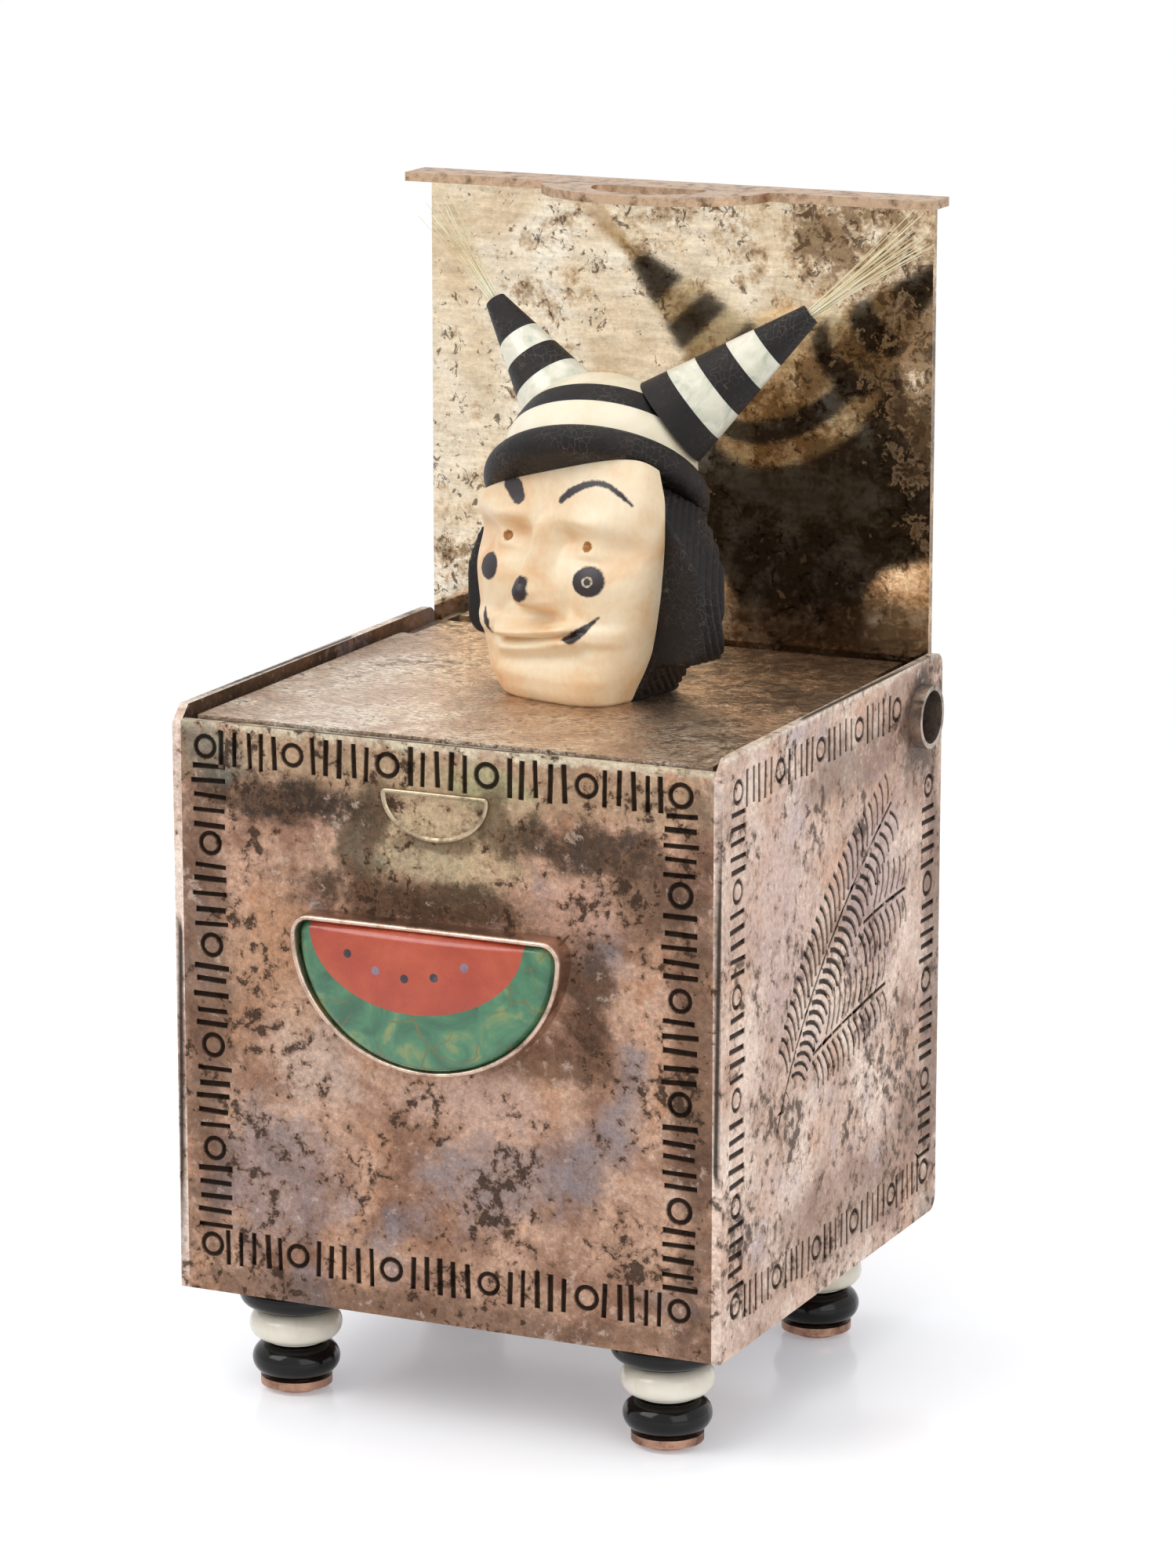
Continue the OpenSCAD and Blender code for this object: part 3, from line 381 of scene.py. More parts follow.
# Carved bone: cream, stained orange in patches by age; the painted marks are a purple-brown ink.
# "mark" is the distance in mm to the nearest painted edge, "drill" that to an eye's edge, less inside.
def carvedBone():
    mat, tree, where = newMaterial("carved bone, ink painted")
    cloud = put(tree, "ShaderNodeTexNoise",
                {"Vector": where, "Scale": 120, "Detail": 6, "Roughness": 0.6, "Distortion": 0.5})
    colour = put(tree, "ShaderNodeValToRGB", {0: cloud}, ramp=[
        (0.3, "#f0e2c8"), (0.45, "#ecd6b4"), (0.56, "#e6c196"), (0.68, "#dca274")])
    fibre = put(tree, "ShaderNodeMapping", {"Vector": where, "Scale": (2200, 2200, 1100)})
    fibre = put(tree, "ShaderNodeTexNoise", {"Vector": fibre, "Scale": 1, "Detail": 3})
    colour = toned(tree, colour, fibre, 0.3, 0.7, 0.97, 1.03)
    rag = put(tree, "ShaderNodeTexNoise", {"Vector": where, "Scale": 2400, "Detail": 5, "Roughness": 0.7})
    rag = put(tree, "ShaderNodeMapRange", {0: rag, 1: 0, 2: 1, 3: -0.2, 4: 0.2})
    # painted shade: warm orange laid over the carved hollows, deeper ones darker, where their shadow falls
    paintedHollowShade = put(tree, "ShaderNodeAttribute", out="Fac", attribute_name="paintedHollowShade")
    colour = laidOver(tree, colour, paintedHollowShade, 0.0, 1.0, 0.25, "#cf9660")
    for attribute, shade, soft in (("mark", "#1d0a11", 0.09), ("drill", "#a06a28", 0.06)):
        near = put(tree, "ShaderNodeAttribute", out="Fac", attribute_name=attribute)
        near = put(tree, "ShaderNodeMath", {0: near, 1: rag}, operation="ADD")
        colour = laidOver(tree, colour, near, soft, -soft, 1, shade)
    rough = put(tree, "ShaderNodeMapRange", {0: cloud, 1: 0.3, 2: 0.7, 3: 0.38, 4: 0.5})
    bump = put(tree, "ShaderNodeBump", {"Height": fibre, "Strength": 0.08, "Distance": 0.0002})
    closeMaterial(tree, colour, rough, bump, Subsurface_Weight=0.25, Subsurface_Scale=0.0012,
                  Subsurface_Radius=(1.0, 0.55, 0.3), IOR=1.54)
    return mat


# Bristles are pale nylon or horsehair: light comes through them, the gloss runs along them
def bristleFibre():
    mat, tree, where = newMaterial("pale bristle")
    along = put(tree, "ShaderNodeTexNoise", {"Vector": where, "Scale": 260, "Detail": 4})
    colour = put(tree, "ShaderNodeValToRGB", {0: along}, ramp=[
        (0.3, "#b9a97f"), (0.5, "#dccfa9"), (0.72, "#efe7d0")])
    rough = put(tree, "ShaderNodeMapRange", {0: along, 1: 0.3, 2: 0.7, 3: 0.25, 4: 0.4})
    closeMaterial(tree, colour, rough, None, Subsurface_Weight=0.3, Subsurface_Scale=0.0005, IOR=1.5)
    return mat


faceBone = carvedBone()
bristle = bristleFibre()
print("materials made")


# camera, stage and lamps

scene.view_settings.view_transform = "Standard"
view = {"place": (0.229178, -0.491240, 0.184308), "azimuth": 24.806, "elevation": 13.040, "lens": 131.55}
az, el = math.radians(view["azimuth"]), math.radians(view["elevation"])
back = Vector((math.sin(az) * math.cos(el), -math.cos(az) * math.cos(el), math.sin(el)))
right = Vector((math.cos(az), math.sin(az), 0))
up = back.cross(right)
cameraData = bpy.data.cameras.new("camera")
cameraData.lens = view["lens"]
cameraData.sensor_width = 36
camera = bpy.data.objects.new("camera", cameraData)
camera.matrix_world = Matrix((right, up, back)).transposed().to_4x4()
camera.location = view["place"]
scene.collection.objects.link(camera)
scene.camera = camera

lamps = {
    # name: place in metres, side of the square lamp, watts
    "key": ((-0.45, -0.56, 0.7), 0.6, 3.9),
    "fill": ((0.75, -0.5, 0.45), 0.7, 2.0),
    "top": ((0.05, 0.1, 0.9), 0.7, 1.8),
}
for name, (place, side, watts) in lamps.items():
    data = bpy.data.lights.new(name, "AREA")
    data.size = side
    data.energy = watts
    lamp = bpy.data.objects.new(name, data)
    lamp.location = place
    lamp.rotation_euler = (Vector((0, 0, 0.06)) - Vector(place)).to_track_quat("-Z", "Y").to_euler()
    scene.collection.objects.link(lamp)


# 1 for the camera's rays and for those of gloss and of glass, 0 for the rays that only light things
def plainlySeen(tree):
    rays = put(tree, "ShaderNodeLightPath", out=None).outputs
    seen = rays["Is Camera Ray"]
    for kind in ("Is Glossy Ray", "Is Transmission Ray"):
        seen = put(tree, "ShaderNodeMath", {0: seen, 1: rays[kind]}, operation="MAXIMUM")
    return seen


# the room is plain white to the camera, to gloss and through glass, and a little less as a light
world = bpy.data.worlds.new("white room")
scene.world = world
world.use_nodes = True
tree = world.node_tree
tree.nodes.clear()
seen = plainlySeen(tree)
strength = put(tree, "ShaderNodeMapRange", {0: seen, 1: 0, 2: 1, 3: 0.68, 4: 1.0})
room = put(tree, "ShaderNodeBackground", {"Color": (1, 1, 1, 1), "Strength": strength})
put(tree, "ShaderNodeOutputWorld", {"Surface": room}, out=None)


# a round sheet of white acrylic, glossy enough to show the feet, that fades out into the white room
def makeFloor(radius, sides=96):
    mesh = bpy.data.meshes.new("floor")
    turns = [math.tau * i / sides for i in range(sides)]
    rim = [(radius * math.cos(t), radius * math.sin(t), 0) for t in turns]
    mesh.from_pydata(rim, [], [list(range(sides))])
    floor = bpy.data.objects.new("floor", mesh)
    scene.collection.objects.link(floor)
    mat, tree, where = newMaterial("white acrylic sheet")
    cloud = put(tree, "ShaderNodeTexNoise", {"Vector": where, "Scale": 20, "Detail": 3})
    colour = put(tree, "ShaderNodeValToRGB", {0: cloud}, ramp=[(0.3, "#f4f5f7"), (0.7, "#fafafa")])
    sheet = put(tree, "ShaderNodeBsdfPrincipled", {"Base Color": colour, "Roughness": 0.12, "IOR": 1.22})
    seen = plainlySeen(tree)
    glow = put(tree, "ShaderNodeMath", {0: seen, 1: 0.24}, operation="MULTIPLY")
    lift = put(tree, "ShaderNodeEmission", {"Color": hexColour("#eef4ff"), "Strength": glow})
    sheet = put(tree, "ShaderNodeAddShader", {0: sheet, 1: lift})
    flat = put(tree, "ShaderNodeVectorMath", {0: where}, out="Value", operation="LENGTH")
    fade = put(tree, "ShaderNodeMapRange", {0: flat, 1: radius * 0.22, 2: radius * 0.8, 3: 0, 4: 1},
               interpolation_type="SMOOTHSTEP")
    clear = put(tree, "ShaderNodeBsdfTransparent")
    surface = put(tree, "ShaderNodeMixShader", {0: fade, 1: sheet, 2: clear})
    put(tree, "ShaderNodeOutputMaterial", {"Surface": surface}, out=None)
    mesh.materials.append(mat)


makeFloor(radius=0.42)
print("camera, lamps and floor placed")


# helpers for meshes, each new piece one object at the origin
def link(name, mesh, mat, body, slot, *replaced):
    piece = bpy.data.objects.new(name, mesh)
    scene.collection.objects.link(piece)
    mesh.materials.clear()
    mesh.materials.append(mat)
    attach(piece, body)
    if replaced:
        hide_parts(*replaced)
    return piece


def smooth(mesh, angle):
    # shaded round, with edges sharper than the angle left crisp
    mesh.polygons.foreach_set("use_smooth", [True] * len(mesh.polygons))
    mesh.set_sharp_from_angle(angle=math.radians(angle))
    return mesh


def tidied(mesh):
    work = bmesh.new()
    work.from_mesh(mesh)
    bmesh.ops.remove_doubles(work, verts=work.verts, dist=0.001 * mm)
    bmesh.ops.recalc_face_normals(work, faces=work.faces)
    work.to_mesh(mesh)
    work.free()
    return mesh


def evaluated(obj):
    # the object's result as a plain mesh; the object itself and its modifiers go
    mesh = bpy.data.meshes.new_from_object(obj.evaluated_get(bpy.context.evaluated_depsgraph_get()))
    bpy.data.objects.remove(obj)
    return mesh


def newRule(name, sizes, counts=()):
    # a Geometry Nodes tree with named inputs for its sizes and counts
    tree = bpy.data.node_groups.new(name, "GeometryNodeTree")
    tree.interface.new_socket("Geometry", in_out="INPUT", socket_type="NodeSocketGeometry")
    for kind, titles in (("NodeSocketFloat", sizes), ("NodeSocketInt", counts)):
        for title in titles:
            tree.interface.new_socket(title, in_out="INPUT", socket_type=kind)
    tree.interface.new_socket("Result", in_out="OUTPUT", socket_type="NodeSocketGeometry")
    return tree, tree.nodes.new("NodeGroupInput").outputs


def closeRule(tree, shape, mat):
    real = put(tree, "GeometryNodeRealizeInstances", {0: shape})
    done = put(tree, "GeometryNodeSetMaterial", {"Geometry": real, "Material": mat})
    put(tree, "NodeGroupOutput", {0: done}, out=None)
    return tree


def fromRule(tree, values, mesh=None):
    # runs a tree with its inputs set, on a mesh where it needs one; the result is one plain mesh
    carrier = bpy.data.objects.new("carrier", mesh or bpy.data.meshes.new("carrier"))
    scene.collection.objects.link(carrier)
    modifier = carrier.modifiers.new("rule", "NODES")
    modifier.node_group = tree
    for item in tree.interface.items_tree:
        if item.in_out == "INPUT" and item.name in values:
            modifier[item.identifier] = values[item.name]
    return evaluated(carrier)


def polarPoint(tree, angle, radius, height=0.0):
    # nodes for the place at an angle and a radius round Z
    cosine = put(tree, "ShaderNodeMath", {0: angle}, operation="COSINE")
    sine = put(tree, "ShaderNodeMath", {0: angle}, operation="SINE")
    x = put(tree, "ShaderNodeMath", {0: cosine, 1: radius}, operation="MULTIPLY")
    y = put(tree, "ShaderNodeMath", {0: sine, 1: radius}, operation="MULTIPLY")
    return put(tree, "ShaderNodeCombineXYZ", {0: x, 1: y, 2: height})


# stamped walls

punches = {  # metres
    "Bar Length": 0.0036, "Bar Width": 0.00056, "Ring Radius": 0.00104, "Ring Stroke": 0.00054,
    "Curl Length": 0.004,
}


# A tree that puts small shapes on the points of a mesh: attribute "kind" picks the shape, "turn" and
# "grow" turn and scale it. Bars and rings are half sunk later, so their centres lie on the points.
def stampTree(mat):
    tree, given = newRule("punched marks", punches)
    half = put(tree, "ShaderNodeMath", {0: given["Bar Width"], 1: 0.5}, operation="MULTIPLY")
    bar = put(tree, "GeometryNodeMeshCylinder",
              {"Vertices": 8, "Side Segments": 1, "Radius": half, "Depth": given["Bar Length"]})
    bar = put(tree, "GeometryNodeTransform", {"Geometry": bar, "Rotation": (0, math.pi / 2, 0)})
    circle = put(tree, "GeometryNodeCurvePrimitiveCircle", {"Resolution": 16, "Radius": given["Ring Radius"]})
    stroke = put(tree, "ShaderNodeMath", {0: given["Ring Stroke"], 1: 0.5}, operation="MULTIPLY")
    profile = put(tree, "GeometryNodeCurvePrimitiveCircle", {"Resolution": 6, "Radius": stroke})
    ring = put(tree, "GeometryNodeCurveToMesh", {"Curve": circle, "Profile Curve": profile})
    # the curl is a shallow arc, thin at its ends
    bow = put(tree, "GeometryNodeCurvePrimitiveBezierSegment", {
        "Resolution": 4, "Start": (0, 0, 0), "Start Handle": (0.45, -0.04, 0), "End Handle": (0.85, 0.1, 0),
        "End": (1, 0.42, 0)})
    size = put(tree, "ShaderNodeCombineXYZ", {k: given["Curl Length"] for k in range(3)})
    bow = put(tree, "GeometryNodeTransform", {"Geometry": bow, "Scale": size})
    thin = put(tree, "GeometryNodeCurvePrimitiveCircle", {"Resolution": 6, "Radius": half})
    curl = put(tree, "GeometryNodeCurveToMesh", {"Curve": bow, "Profile Curve": thin, "Fill Caps": True})
    kind = put(tree, "GeometryNodeInputNamedAttribute", {"Name": "kind"}, data_type="INT")
    turn = put(tree, "GeometryNodeInputNamedAttribute", {"Name": "turn"}, data_type="FLOAT_VECTOR")
    grow = put(tree, "GeometryNodeInputNamedAttribute", {"Name": "grow"}, data_type="FLOAT_VECTOR")
    joined = tree.nodes.new("GeometryNodeJoinGeometry")
    for number, shape in enumerate((bar, ring, curl)):
        same = put(tree, "FunctionNodeCompare", {2: kind, 3: number}, data_type="INT", operation="EQUAL")
        placed = put(tree, "GeometryNodeInstanceOnPoints", {
            "Points": given["Geometry"], "Selection": same, "Instance": shape,
            "Rotation": turn, "Scale": grow})
        tree.links.new(placed, joined.inputs[0])
    return closeRule(tree, joined.outputs[0], mat)


def stamped(marks):
    # marks are (place, turn matrix, kind, scale); the result is one plain mesh
    mesh = bpy.data.meshes.new("marks")
    mesh.from_pydata([m[0] for m in marks], [], [])
    mesh.attributes.new("kind", "INT", "POINT").data.foreach_set("value", [m[2] for m in marks])
    turns, scales = [c for m in marks for c in m[1].to_euler()], [c for m in marks for c in m[3]]
    for name, values in (("turn", turns), ("grow", scales)):
        mesh.attributes.new(name, "FLOAT_VECTOR", "POINT").data.foreach_set("vector", values)
    return fromRule(marksTree, punches, mesh)


border = {
    "bars": 5, "barStep": 1.42, "barSpread": 0.13,    # bars between two rings, their step and its spread, mm
    "lean": 2.5, "seed": 7,                           # degrees, seed of all the small differences
    "blackFrom": 0.22, "deepest": 0.6,                # mm: full black from here down, no stamp beyond this
    "frontRings": [-25, -15.7, -5.7, 4.6, 14.8, 24.3], "frontRows": [4.7, 54.0],
    "columnRings": [4.7, 14.4, 24.7, 34.6, 44.6, 54.0], "sideRings": [-23.7, -13.8, -4.0, 5.6, 15.3],
    "sideColumns": [-23.7, 24.0], "sideRows": [4.7, 54.0],
}
random.seed(border["seed"])
marksTree = stampTree(frontSilver)


def borderMarks(place, turnOf, rings, skipFirst=False, skipLast=False):
    # a row of rings with bars between; place(s) gives the point at s mm along the row
    marks = []
    for i, ring in enumerate(rings):
        if not (skipFirst and i == 0) and not (skipLast and i == len(rings) - 1):
            marks.append((place(ring), turnOf(0), 1, Vector((1, 1, 1)) * random.uniform(0.95, 1.06)))
        if i + 1 < len(rings):
            middle = (rings[i + 1] + ring) / 2
            for b in range(border["bars"]):
                spot = middle + border["barStep"] * (b - (border["bars"] - 1) / 2)
                spot += random.uniform(-1, 1) * border["barSpread"]
                lean = math.radians(90 + random.uniform(-1, 1) * border["lean"])
                marks.append((place(spot, random.uniform(-0.15, 0.15)), turnOf(lean), 0,
                              Vector((random.uniform(0.88, 1.05), random.uniform(0.8, 1.1), 1))))
    return marks


def facing(normal, along):
    # turn that lays a stamp's own X along the row and its own Z out of the wall
    normal, along = Vector(normal), Vector(along)
    base = Matrix((along, normal.cross(along), normal)).transposed()
    return lambda angle: base @ Matrix.Rotation(angle, 3, "Z")


def gridded(mesh, step=1.87):
    # cuts a plate into squares, step mm wide, so that no face with many holes has to be filled
    work = bmesh.new()
    work.from_mesh(mesh)
    low = [min(v.co[k] for v in work.verts) for k in range(3)]
    high = [max(v.co[k] for v in work.verts) for k in range(3)]
    for k in range(3):
        if high[k] - low[k] > 10 * mm:   # not through the plate's thickness
            for i in range(1, int((high[k] - low[k]) / mm / step) + 1):
                place, way = Vector(low), Vector((0, 0, 0))
                place[k] += i * step * mm
                way[k] = 1
                whole = work.verts[:] + work.edges[:] + work.faces[:]
                bmesh.ops.bisect_plane(work, geom=whole, plane_co=place, plane_no=way, dist=1e-8)
    work.to_mesh(mesh)
    work.free()
    return mesh


def engrave(name, node, marks, normal, mat):
    # cuts the marks into a wall; "groove" runs from 0 on its face to 1 in the stamps
    cutter = bpy.data.objects.new("cutter", tidied(stamped(marks)))
    plate = bpy.data.objects.new("plate", gridded(tidied(nodes[node].data.copy())))
    for obj in (cutter, plate):
        scene.collection.objects.link(obj)
    cut = plate.modifiers.new("stamps", "BOOLEAN")
    cut.operation = "DIFFERENCE"
    cut.solver = "MANIFOLD"
    cut.object = cutter
    mesh = evaluated(plate)
    bpy.data.objects.remove(cutter)
    normal = Vector(normal)
    top = max(v.co.dot(normal) for v in mesh.vertices)
    depths = [(top - v.co.dot(normal)) / mm for v in mesh.vertices]
    groove = mesh.attributes.new("groove", "FLOAT", "POINT")
    shares = [min(1, d / border["blackFrom"]) if 0.01 < d < border["deepest"] else 0 for d in depths]
    groove.data.foreach_set("value", shares)
    link(name, mesh, mat, "box", "silver_patina", node)
    mesh.materials.append(shadedInnerSilver)
    for face in mesh.polygons:
        # the inner side takes the darker copy of the sheet, a painted shade inside the box
        if face.normal.dot(normal) < -0.9:   # the wall's inner side
            face.material_index = 1


def at(x, y, z):
    return boxMid + Vector((x, y, z)) * mm


frontY = (frontLow.y - boxMid.y) / mm
sideX = (rightHigh.x - boxMid.x) / mm
turnAcross, turnUp = facing((0, -1, 0), (1, 0, 0)), facing((0, -1, 0), (0, 0, 1))
marks = []
for z in border["frontRows"]:
    marks += borderMarks(lambda s, o=0, z=z: at(s, frontY, z + o), turnAcross, border["frontRings"])
for x in (border["frontRings"][0] + 0.4, border["frontRings"][-1]):
    marks += borderMarks(lambda s, o=0, x=x: at(x + o, frontY, s), turnUp, border["columnRings"], True, True)
engrave("frontWallStamped", "front_wall", marks, (0, -1, 0), frontSilver)


frond = {
    # each stem's start, bend and end in y, z mm; curl length; where on the stem the curls begin
    "stems": [
        [(-14, 19), (-7, 33), (14, 45), 4.2, 0.16], [(-7.5, 29.5), (2, 35), (18, 35.5), 3.9, 0.12],
        [(-11.5, 23), (-2, 25.5), (13, 27), 3.7, 0.1]],
    "stroke": 2.4, "strokeGap": 0.6,      # mm: length of the stem's strokes, least room to another frond
    "strokeGrow": 0.3,                    # scale of the bar punch for each mm of the stem
    "curlStep": 1.25, "curlGap": 0.95,    # mm: from curl to curl, least room to another frond
    "curlOff": 0.55, "curlLean": 52,      # mm off the stem, degrees from it
}


# A frond chased with a curved punch: a bowed stem and curls in pairs on both sides, by one rule
def frondMarks(side, x):
    turn = facing((side, 0, 0), (0, 1, 0))
    punch = punches["Curl Length"] / mm
    found, cut = [], []
    for start, bend, end, size, first in frond["stems"]:
        start, bend, end = Vector(start), Vector(bend), Vector(end)
        point = lambda t: start * (1 - t) ** 2 + bend * 2 * t * (1 - t) + end * t * t
        length = sum((point((i + 1) / 40) - point(i / 40)).length for i in range(40))
        taken, mine = list(cut), []
        steps = int(length / frond["stroke"])
        for i in range(steps):   # the stem itself, in short strokes that stay apart
            a, b = point(i / steps), point((i + 1) / steps)
            run = b - a
            mine += [a, (a + b) / 2]
            if min([(p - q).length for p in taken for q in (a, (a + b) / 2, b)] or [9]) < frond["strokeGap"]:
                continue
            found.append((at(x, (a.x + b.x) / 2, (a.y + b.y) / 2), turn(side * math.atan2(run.y, run.x)), 0,
                          Vector((run.length * frond["strokeGrow"], 0.7, 1.0))))
        count = int(length * (1 - first) / frond["curlStep"])
        for i in range(count):
            t = first + (1 - first) * (i + 0.5) / count
            here, ahead = point(t), point(min(1, t + 0.02)) - point(t - 0.02)
            way = math.atan2(ahead.y, ahead.x)
            taper = (0.55 + 0.45 * math.sin(math.pi * min(1, (1 - t) * 0.9 + 0.1))) * size / punch
            for hand in (-1, 1):
                spot = here + Vector((-math.sin(way), math.cos(way))) * frond["curlOff"] * hand
                heading = way + hand * math.radians(frond["curlLean"])
                reach = Vector((math.cos(heading), math.sin(heading))) * punch * taper
                path = [spot + reach * k / 4 for k in range(5)]
                if min([(p - q).length for p in taken for q in path] or [9]) < frond["curlGap"]:
                    continue
                mine += path
                base = turn(side * heading)
                if hand * side < 0:   # the curl's mirror image is the same arc turned over
                    base = base @ Matrix.Rotation(math.pi, 3, "X")
                found.append((at(x, spot.x, spot.y), base, 2, Vector((taper, taper, 1.1 * taper))))
        cut += mine
    return found


for side, node, name in ((1, "right_wall", "rightWallStamped"), (-1, "left_wall", "leftWallStamped")):
    x = side * sideX
    turnAlong, turnUp = facing((side, 0, 0), (0, 1, 0)), facing((side, 0, 0), (0, 0, 1))
    marks = []
    near, far = border["sideColumns"]
    for z, rings in zip(border["sideRows"], (border["sideRings"] + [far], border["sideRings"])):
        marks += borderMarks(lambda s, o=0, z=z: at(x, s, z + o), turnAlong, rings)
    marks += borderMarks(lambda s, o=0: at(x, near + o, s), turnUp, border["columnRings"], True, True)
    marks += borderMarks(lambda s, o=0: at(x, far + o, s), turnUp, border["columnRings"][:-1], True, False)
    marks += frondMarks(side, x)
    engrave(name, node, marks, (side, 0, 0), sideSilver)
print("walls stamped")


# melon slice

melon = {
    "width": 28.2, "height": 14.5, "top": 39.4, "x": -0.9, "wall": 0.6, "stone": 3.2, "dome": 80,
    "shoulder": 0.9, "shoulderDrop": 0.75, "fleshWidth": 22.4, "fleshHeight": 7.7, "fleshX": -0.9,
    "corner": 2, "fleshCorner": 0.3,
}


def halfMoon(w, h, r, steps=90):
    # flat side up at 0, rounded corners, the rest half an ellipse; clockwise from the left corner
    quarter, half = np.linspace(math.pi, math.pi / 2, 8), np.linspace(0, math.pi, steps + 2)[1:-1]
    corner = [(-w / 2 + r + r * math.cos(a), -r + r * math.sin(a)) for a in quarter]
    top = [(x, 0) for x in np.linspace(-w / 2 + r, w / 2 - r, steps // 2)[1:-1]]
    other = [(-x, y) for x, y in reversed(corner)]
    bow = [(w / 2 * math.cos(a), -r - (h - r) * math.sin(a)) for a in half]
    return np.array(corner + top + other + bow)


def inset(outline, depth):
    # moves each point inward along the mean of its two edges' normals
    ahead = np.roll(outline, -1, 0) - outline
    behind = outline - np.roll(outline, 1, 0)
    run = ahead / np.linalg.norm(ahead, axis=1)[:, None] + behind / np.linalg.norm(behind, axis=1)[:, None]
    run /= np.linalg.norm(run, axis=1)[:, None]
    return outline + depth * np.stack([run[:, 1], -run[:, 0]], 1)


def edgeDistance(points, outline):
    a, b = outline, np.roll(outline, -1, 0)
    ab = b - a
    t = np.clip(((points[:, None] - a) * ab).sum(2) / (ab ** 2).sum(1), 0, 1)
    return np.linalg.norm(points[:, None] - (a + t[:, :, None] * ab), axis=2).min(1)


def loopMesh(name, loops, close=False, rings=True):
    # loops are rings or open rows of points with equal counts, joined in order
    count = len(loops[0])
    points = [tuple(p) for ring in loops for p in ring]
    faces = []
    for k in range(len(loops) if close else len(loops) - 1):
        a, b = k * count, (k + 1) % len(loops) * count
        for i in range(count if rings else count - 1):
            faces.append((a + i, a + (i + 1) % count, b + (i + 1) % count, b + i))
    starts = [k * count for k in range(len(loops))]
    if not close:
        faces += [tuple(range(count))[::-1], tuple(starts[-1] + i for i in range(count))]
    if not rings:
        faces += [tuple(starts)[::-1], tuple(start + count - 1 for start in starts)]
    mesh = bpy.data.meshes.new(name)
    mesh.from_pydata(points, [], faces)
    return tidied(mesh)


def onFront(points, out, x, z):
    # points of the slice's plane, with their heights off the front wall, as places in the row frame
    heights = np.broadcast_to(out, len(points))
    return [at(x + p[0], frontY - h, z + p[1]) for p, h in zip(points, heights)]


def melonHeight(points, shell):
    d = (points[:, 0] ** 2 + (points[:, 1] + melon["height"] / 2) ** 2) / (2 * melon["dome"])
    near = np.clip(1 - edgeDistance(points, shell) / melon["shoulder"], 0, 1)
    return melon["stone"] - d - melon["shoulderDrop"] * near ** 2


mw, mh, mt = melon["width"], melon["height"], melon["wall"]
shell = halfMoon(mw - 2 * mt, mh - 2 * mt, melon["corner"] - mt) + (0, -mt)
fleshLine = halfMoon(melon["fleshWidth"], melon["fleshHeight"], melon["fleshCorner"]) + (melon["fleshX"], -mt)

# flesh: rings that shrink to its middle
middle = np.array((melon["fleshX"], -mt - melon["fleshHeight"] * 0.45))
loops = [onFront(fleshLine, 0.0, melon["x"], melon["top"])]
for share in list(np.linspace(1, 0.9, 5)) + list(np.linspace(0.85, 0.04, 16)):
    ring = middle + (fleshLine - middle) * share
    loops.append(onFront(ring, melonHeight(ring, shell), melon["x"], melon["top"]))
link("melonFlesh", smooth(loopMesh("melonFlesh", loops), 40), coral, "box", "red_coral", "melon_flesh")

# rind: from the flesh's lower edge out to the bezel, by rays from the flesh's middle top
hub = np.array((melon["fleshX"], -mt - 0.02))


def rayHit(outline, angle):
    way = np.array((math.cos(angle), math.sin(angle)))
    best = 0
    for a, b in zip(outline, np.roll(outline, -1, 0)):
        e = b - a
        det = way[0] * -e[1] + way[1] * e[0]
        if abs(det) > 1e-9:
            d = a - hub
            t = (d[0] * -e[1] + d[1] * e[0]) / det
            s = (way[0] * d[1] - way[1] * d[0]) / det
            if -1e-9 <= s <= 1 + 1e-9 and t > best:
                best = t
    return hub + way * best


angles = [math.pi + math.pi * i / 160 for i in range(161)]
outer = np.array([rayHit(shell, a) for a in angles])
inner = np.array([rayHit(fleshLine, a) for a in angles])
sections = []
for share in list(np.linspace(0, 0.75, 8)) + list(np.linspace(0.8, 1, 8)):
    line = inner + (outer - inner) * share
    sections.append(onFront(line, melonHeight(line, shell), melon["x"], melon["top"]))
under = [onFront(line, 0.0, melon["x"], melon["top"]) for line in (outer, inner)]
rind = loopMesh("melonRind", sections + under, close=True, rings=False)
link("melonRind", smooth(rind, 40), turquoise, "box", "green_stone", "melon_rind")


# a strip swept round an outline: its section is (inward, height off the wall) in mm
def sweepStrip(name, outline, section, x, z):
    return loopMesh(name, [onFront(inset(outline, i), h, x, z) for i, h in section], close=True)


bezelSection = [
    (0, 0), (0, 1.7), (0.03, 2.1), (0.1, 2.35), (0.22, 2.47), (0.36, 2.5), (0.5, 2.4), (0.6, 2.2), (0.6, 0)]
bezelLine = halfMoon(mw, mh, melon["corner"], 120)
bezelMesh = sweepStrip("bezelStrip", bezelLine, bezelSection, melon["x"], melon["top"])
link("bezelStrip", smooth(bezelMesh, 50), bezelSilver, "box", "silver_bright", "bezel")

# catch: a half moon with a rolled rim round a sunk face

catch = {
    "width": 11.2, "height": 4.8, "corner": 0.5, "drop": 5.7, "x": -0.7, "sunk": 0.21,
    # its rim's section: mm inward, mm off the wall
    "rim": [(0.0, 0.22), (0.04, 0.32), (0.14, 0.39), (0.24, 0.4), (0.34, 0.36), (0.42, 0.24), (0.48, 0.2)],
}
moon = halfMoon(catch["width"], catch["height"], catch["corner"], 60)
catchTop = (rightHigh.z - boxMid.z) / mm - catch["drop"]
catchLoops = [onFront(moon, 0.0, catch["x"], catchTop)]
for i, h in catch["rim"]:
    catchLoops.append(onFront(inset(moon, i), h, catch["x"], catchTop))
moonMiddle = np.array((0, -catch["height"] * 0.4))
sunkLine = inset(moon, catch["rim"][-1][0])
for share in (0.85, 0.5, 0.1):
    ring = moonMiddle + (sunkLine - moonMiddle) * share
    catchLoops.append(onFront(ring, catch["sunk"], catch["x"], catchTop))
catchMesh = smooth(loopMesh("catchMoon", catchLoops), 60)
link("catchMoon", catchMesh, catchSilver, "box", "silver_bright", "catch")
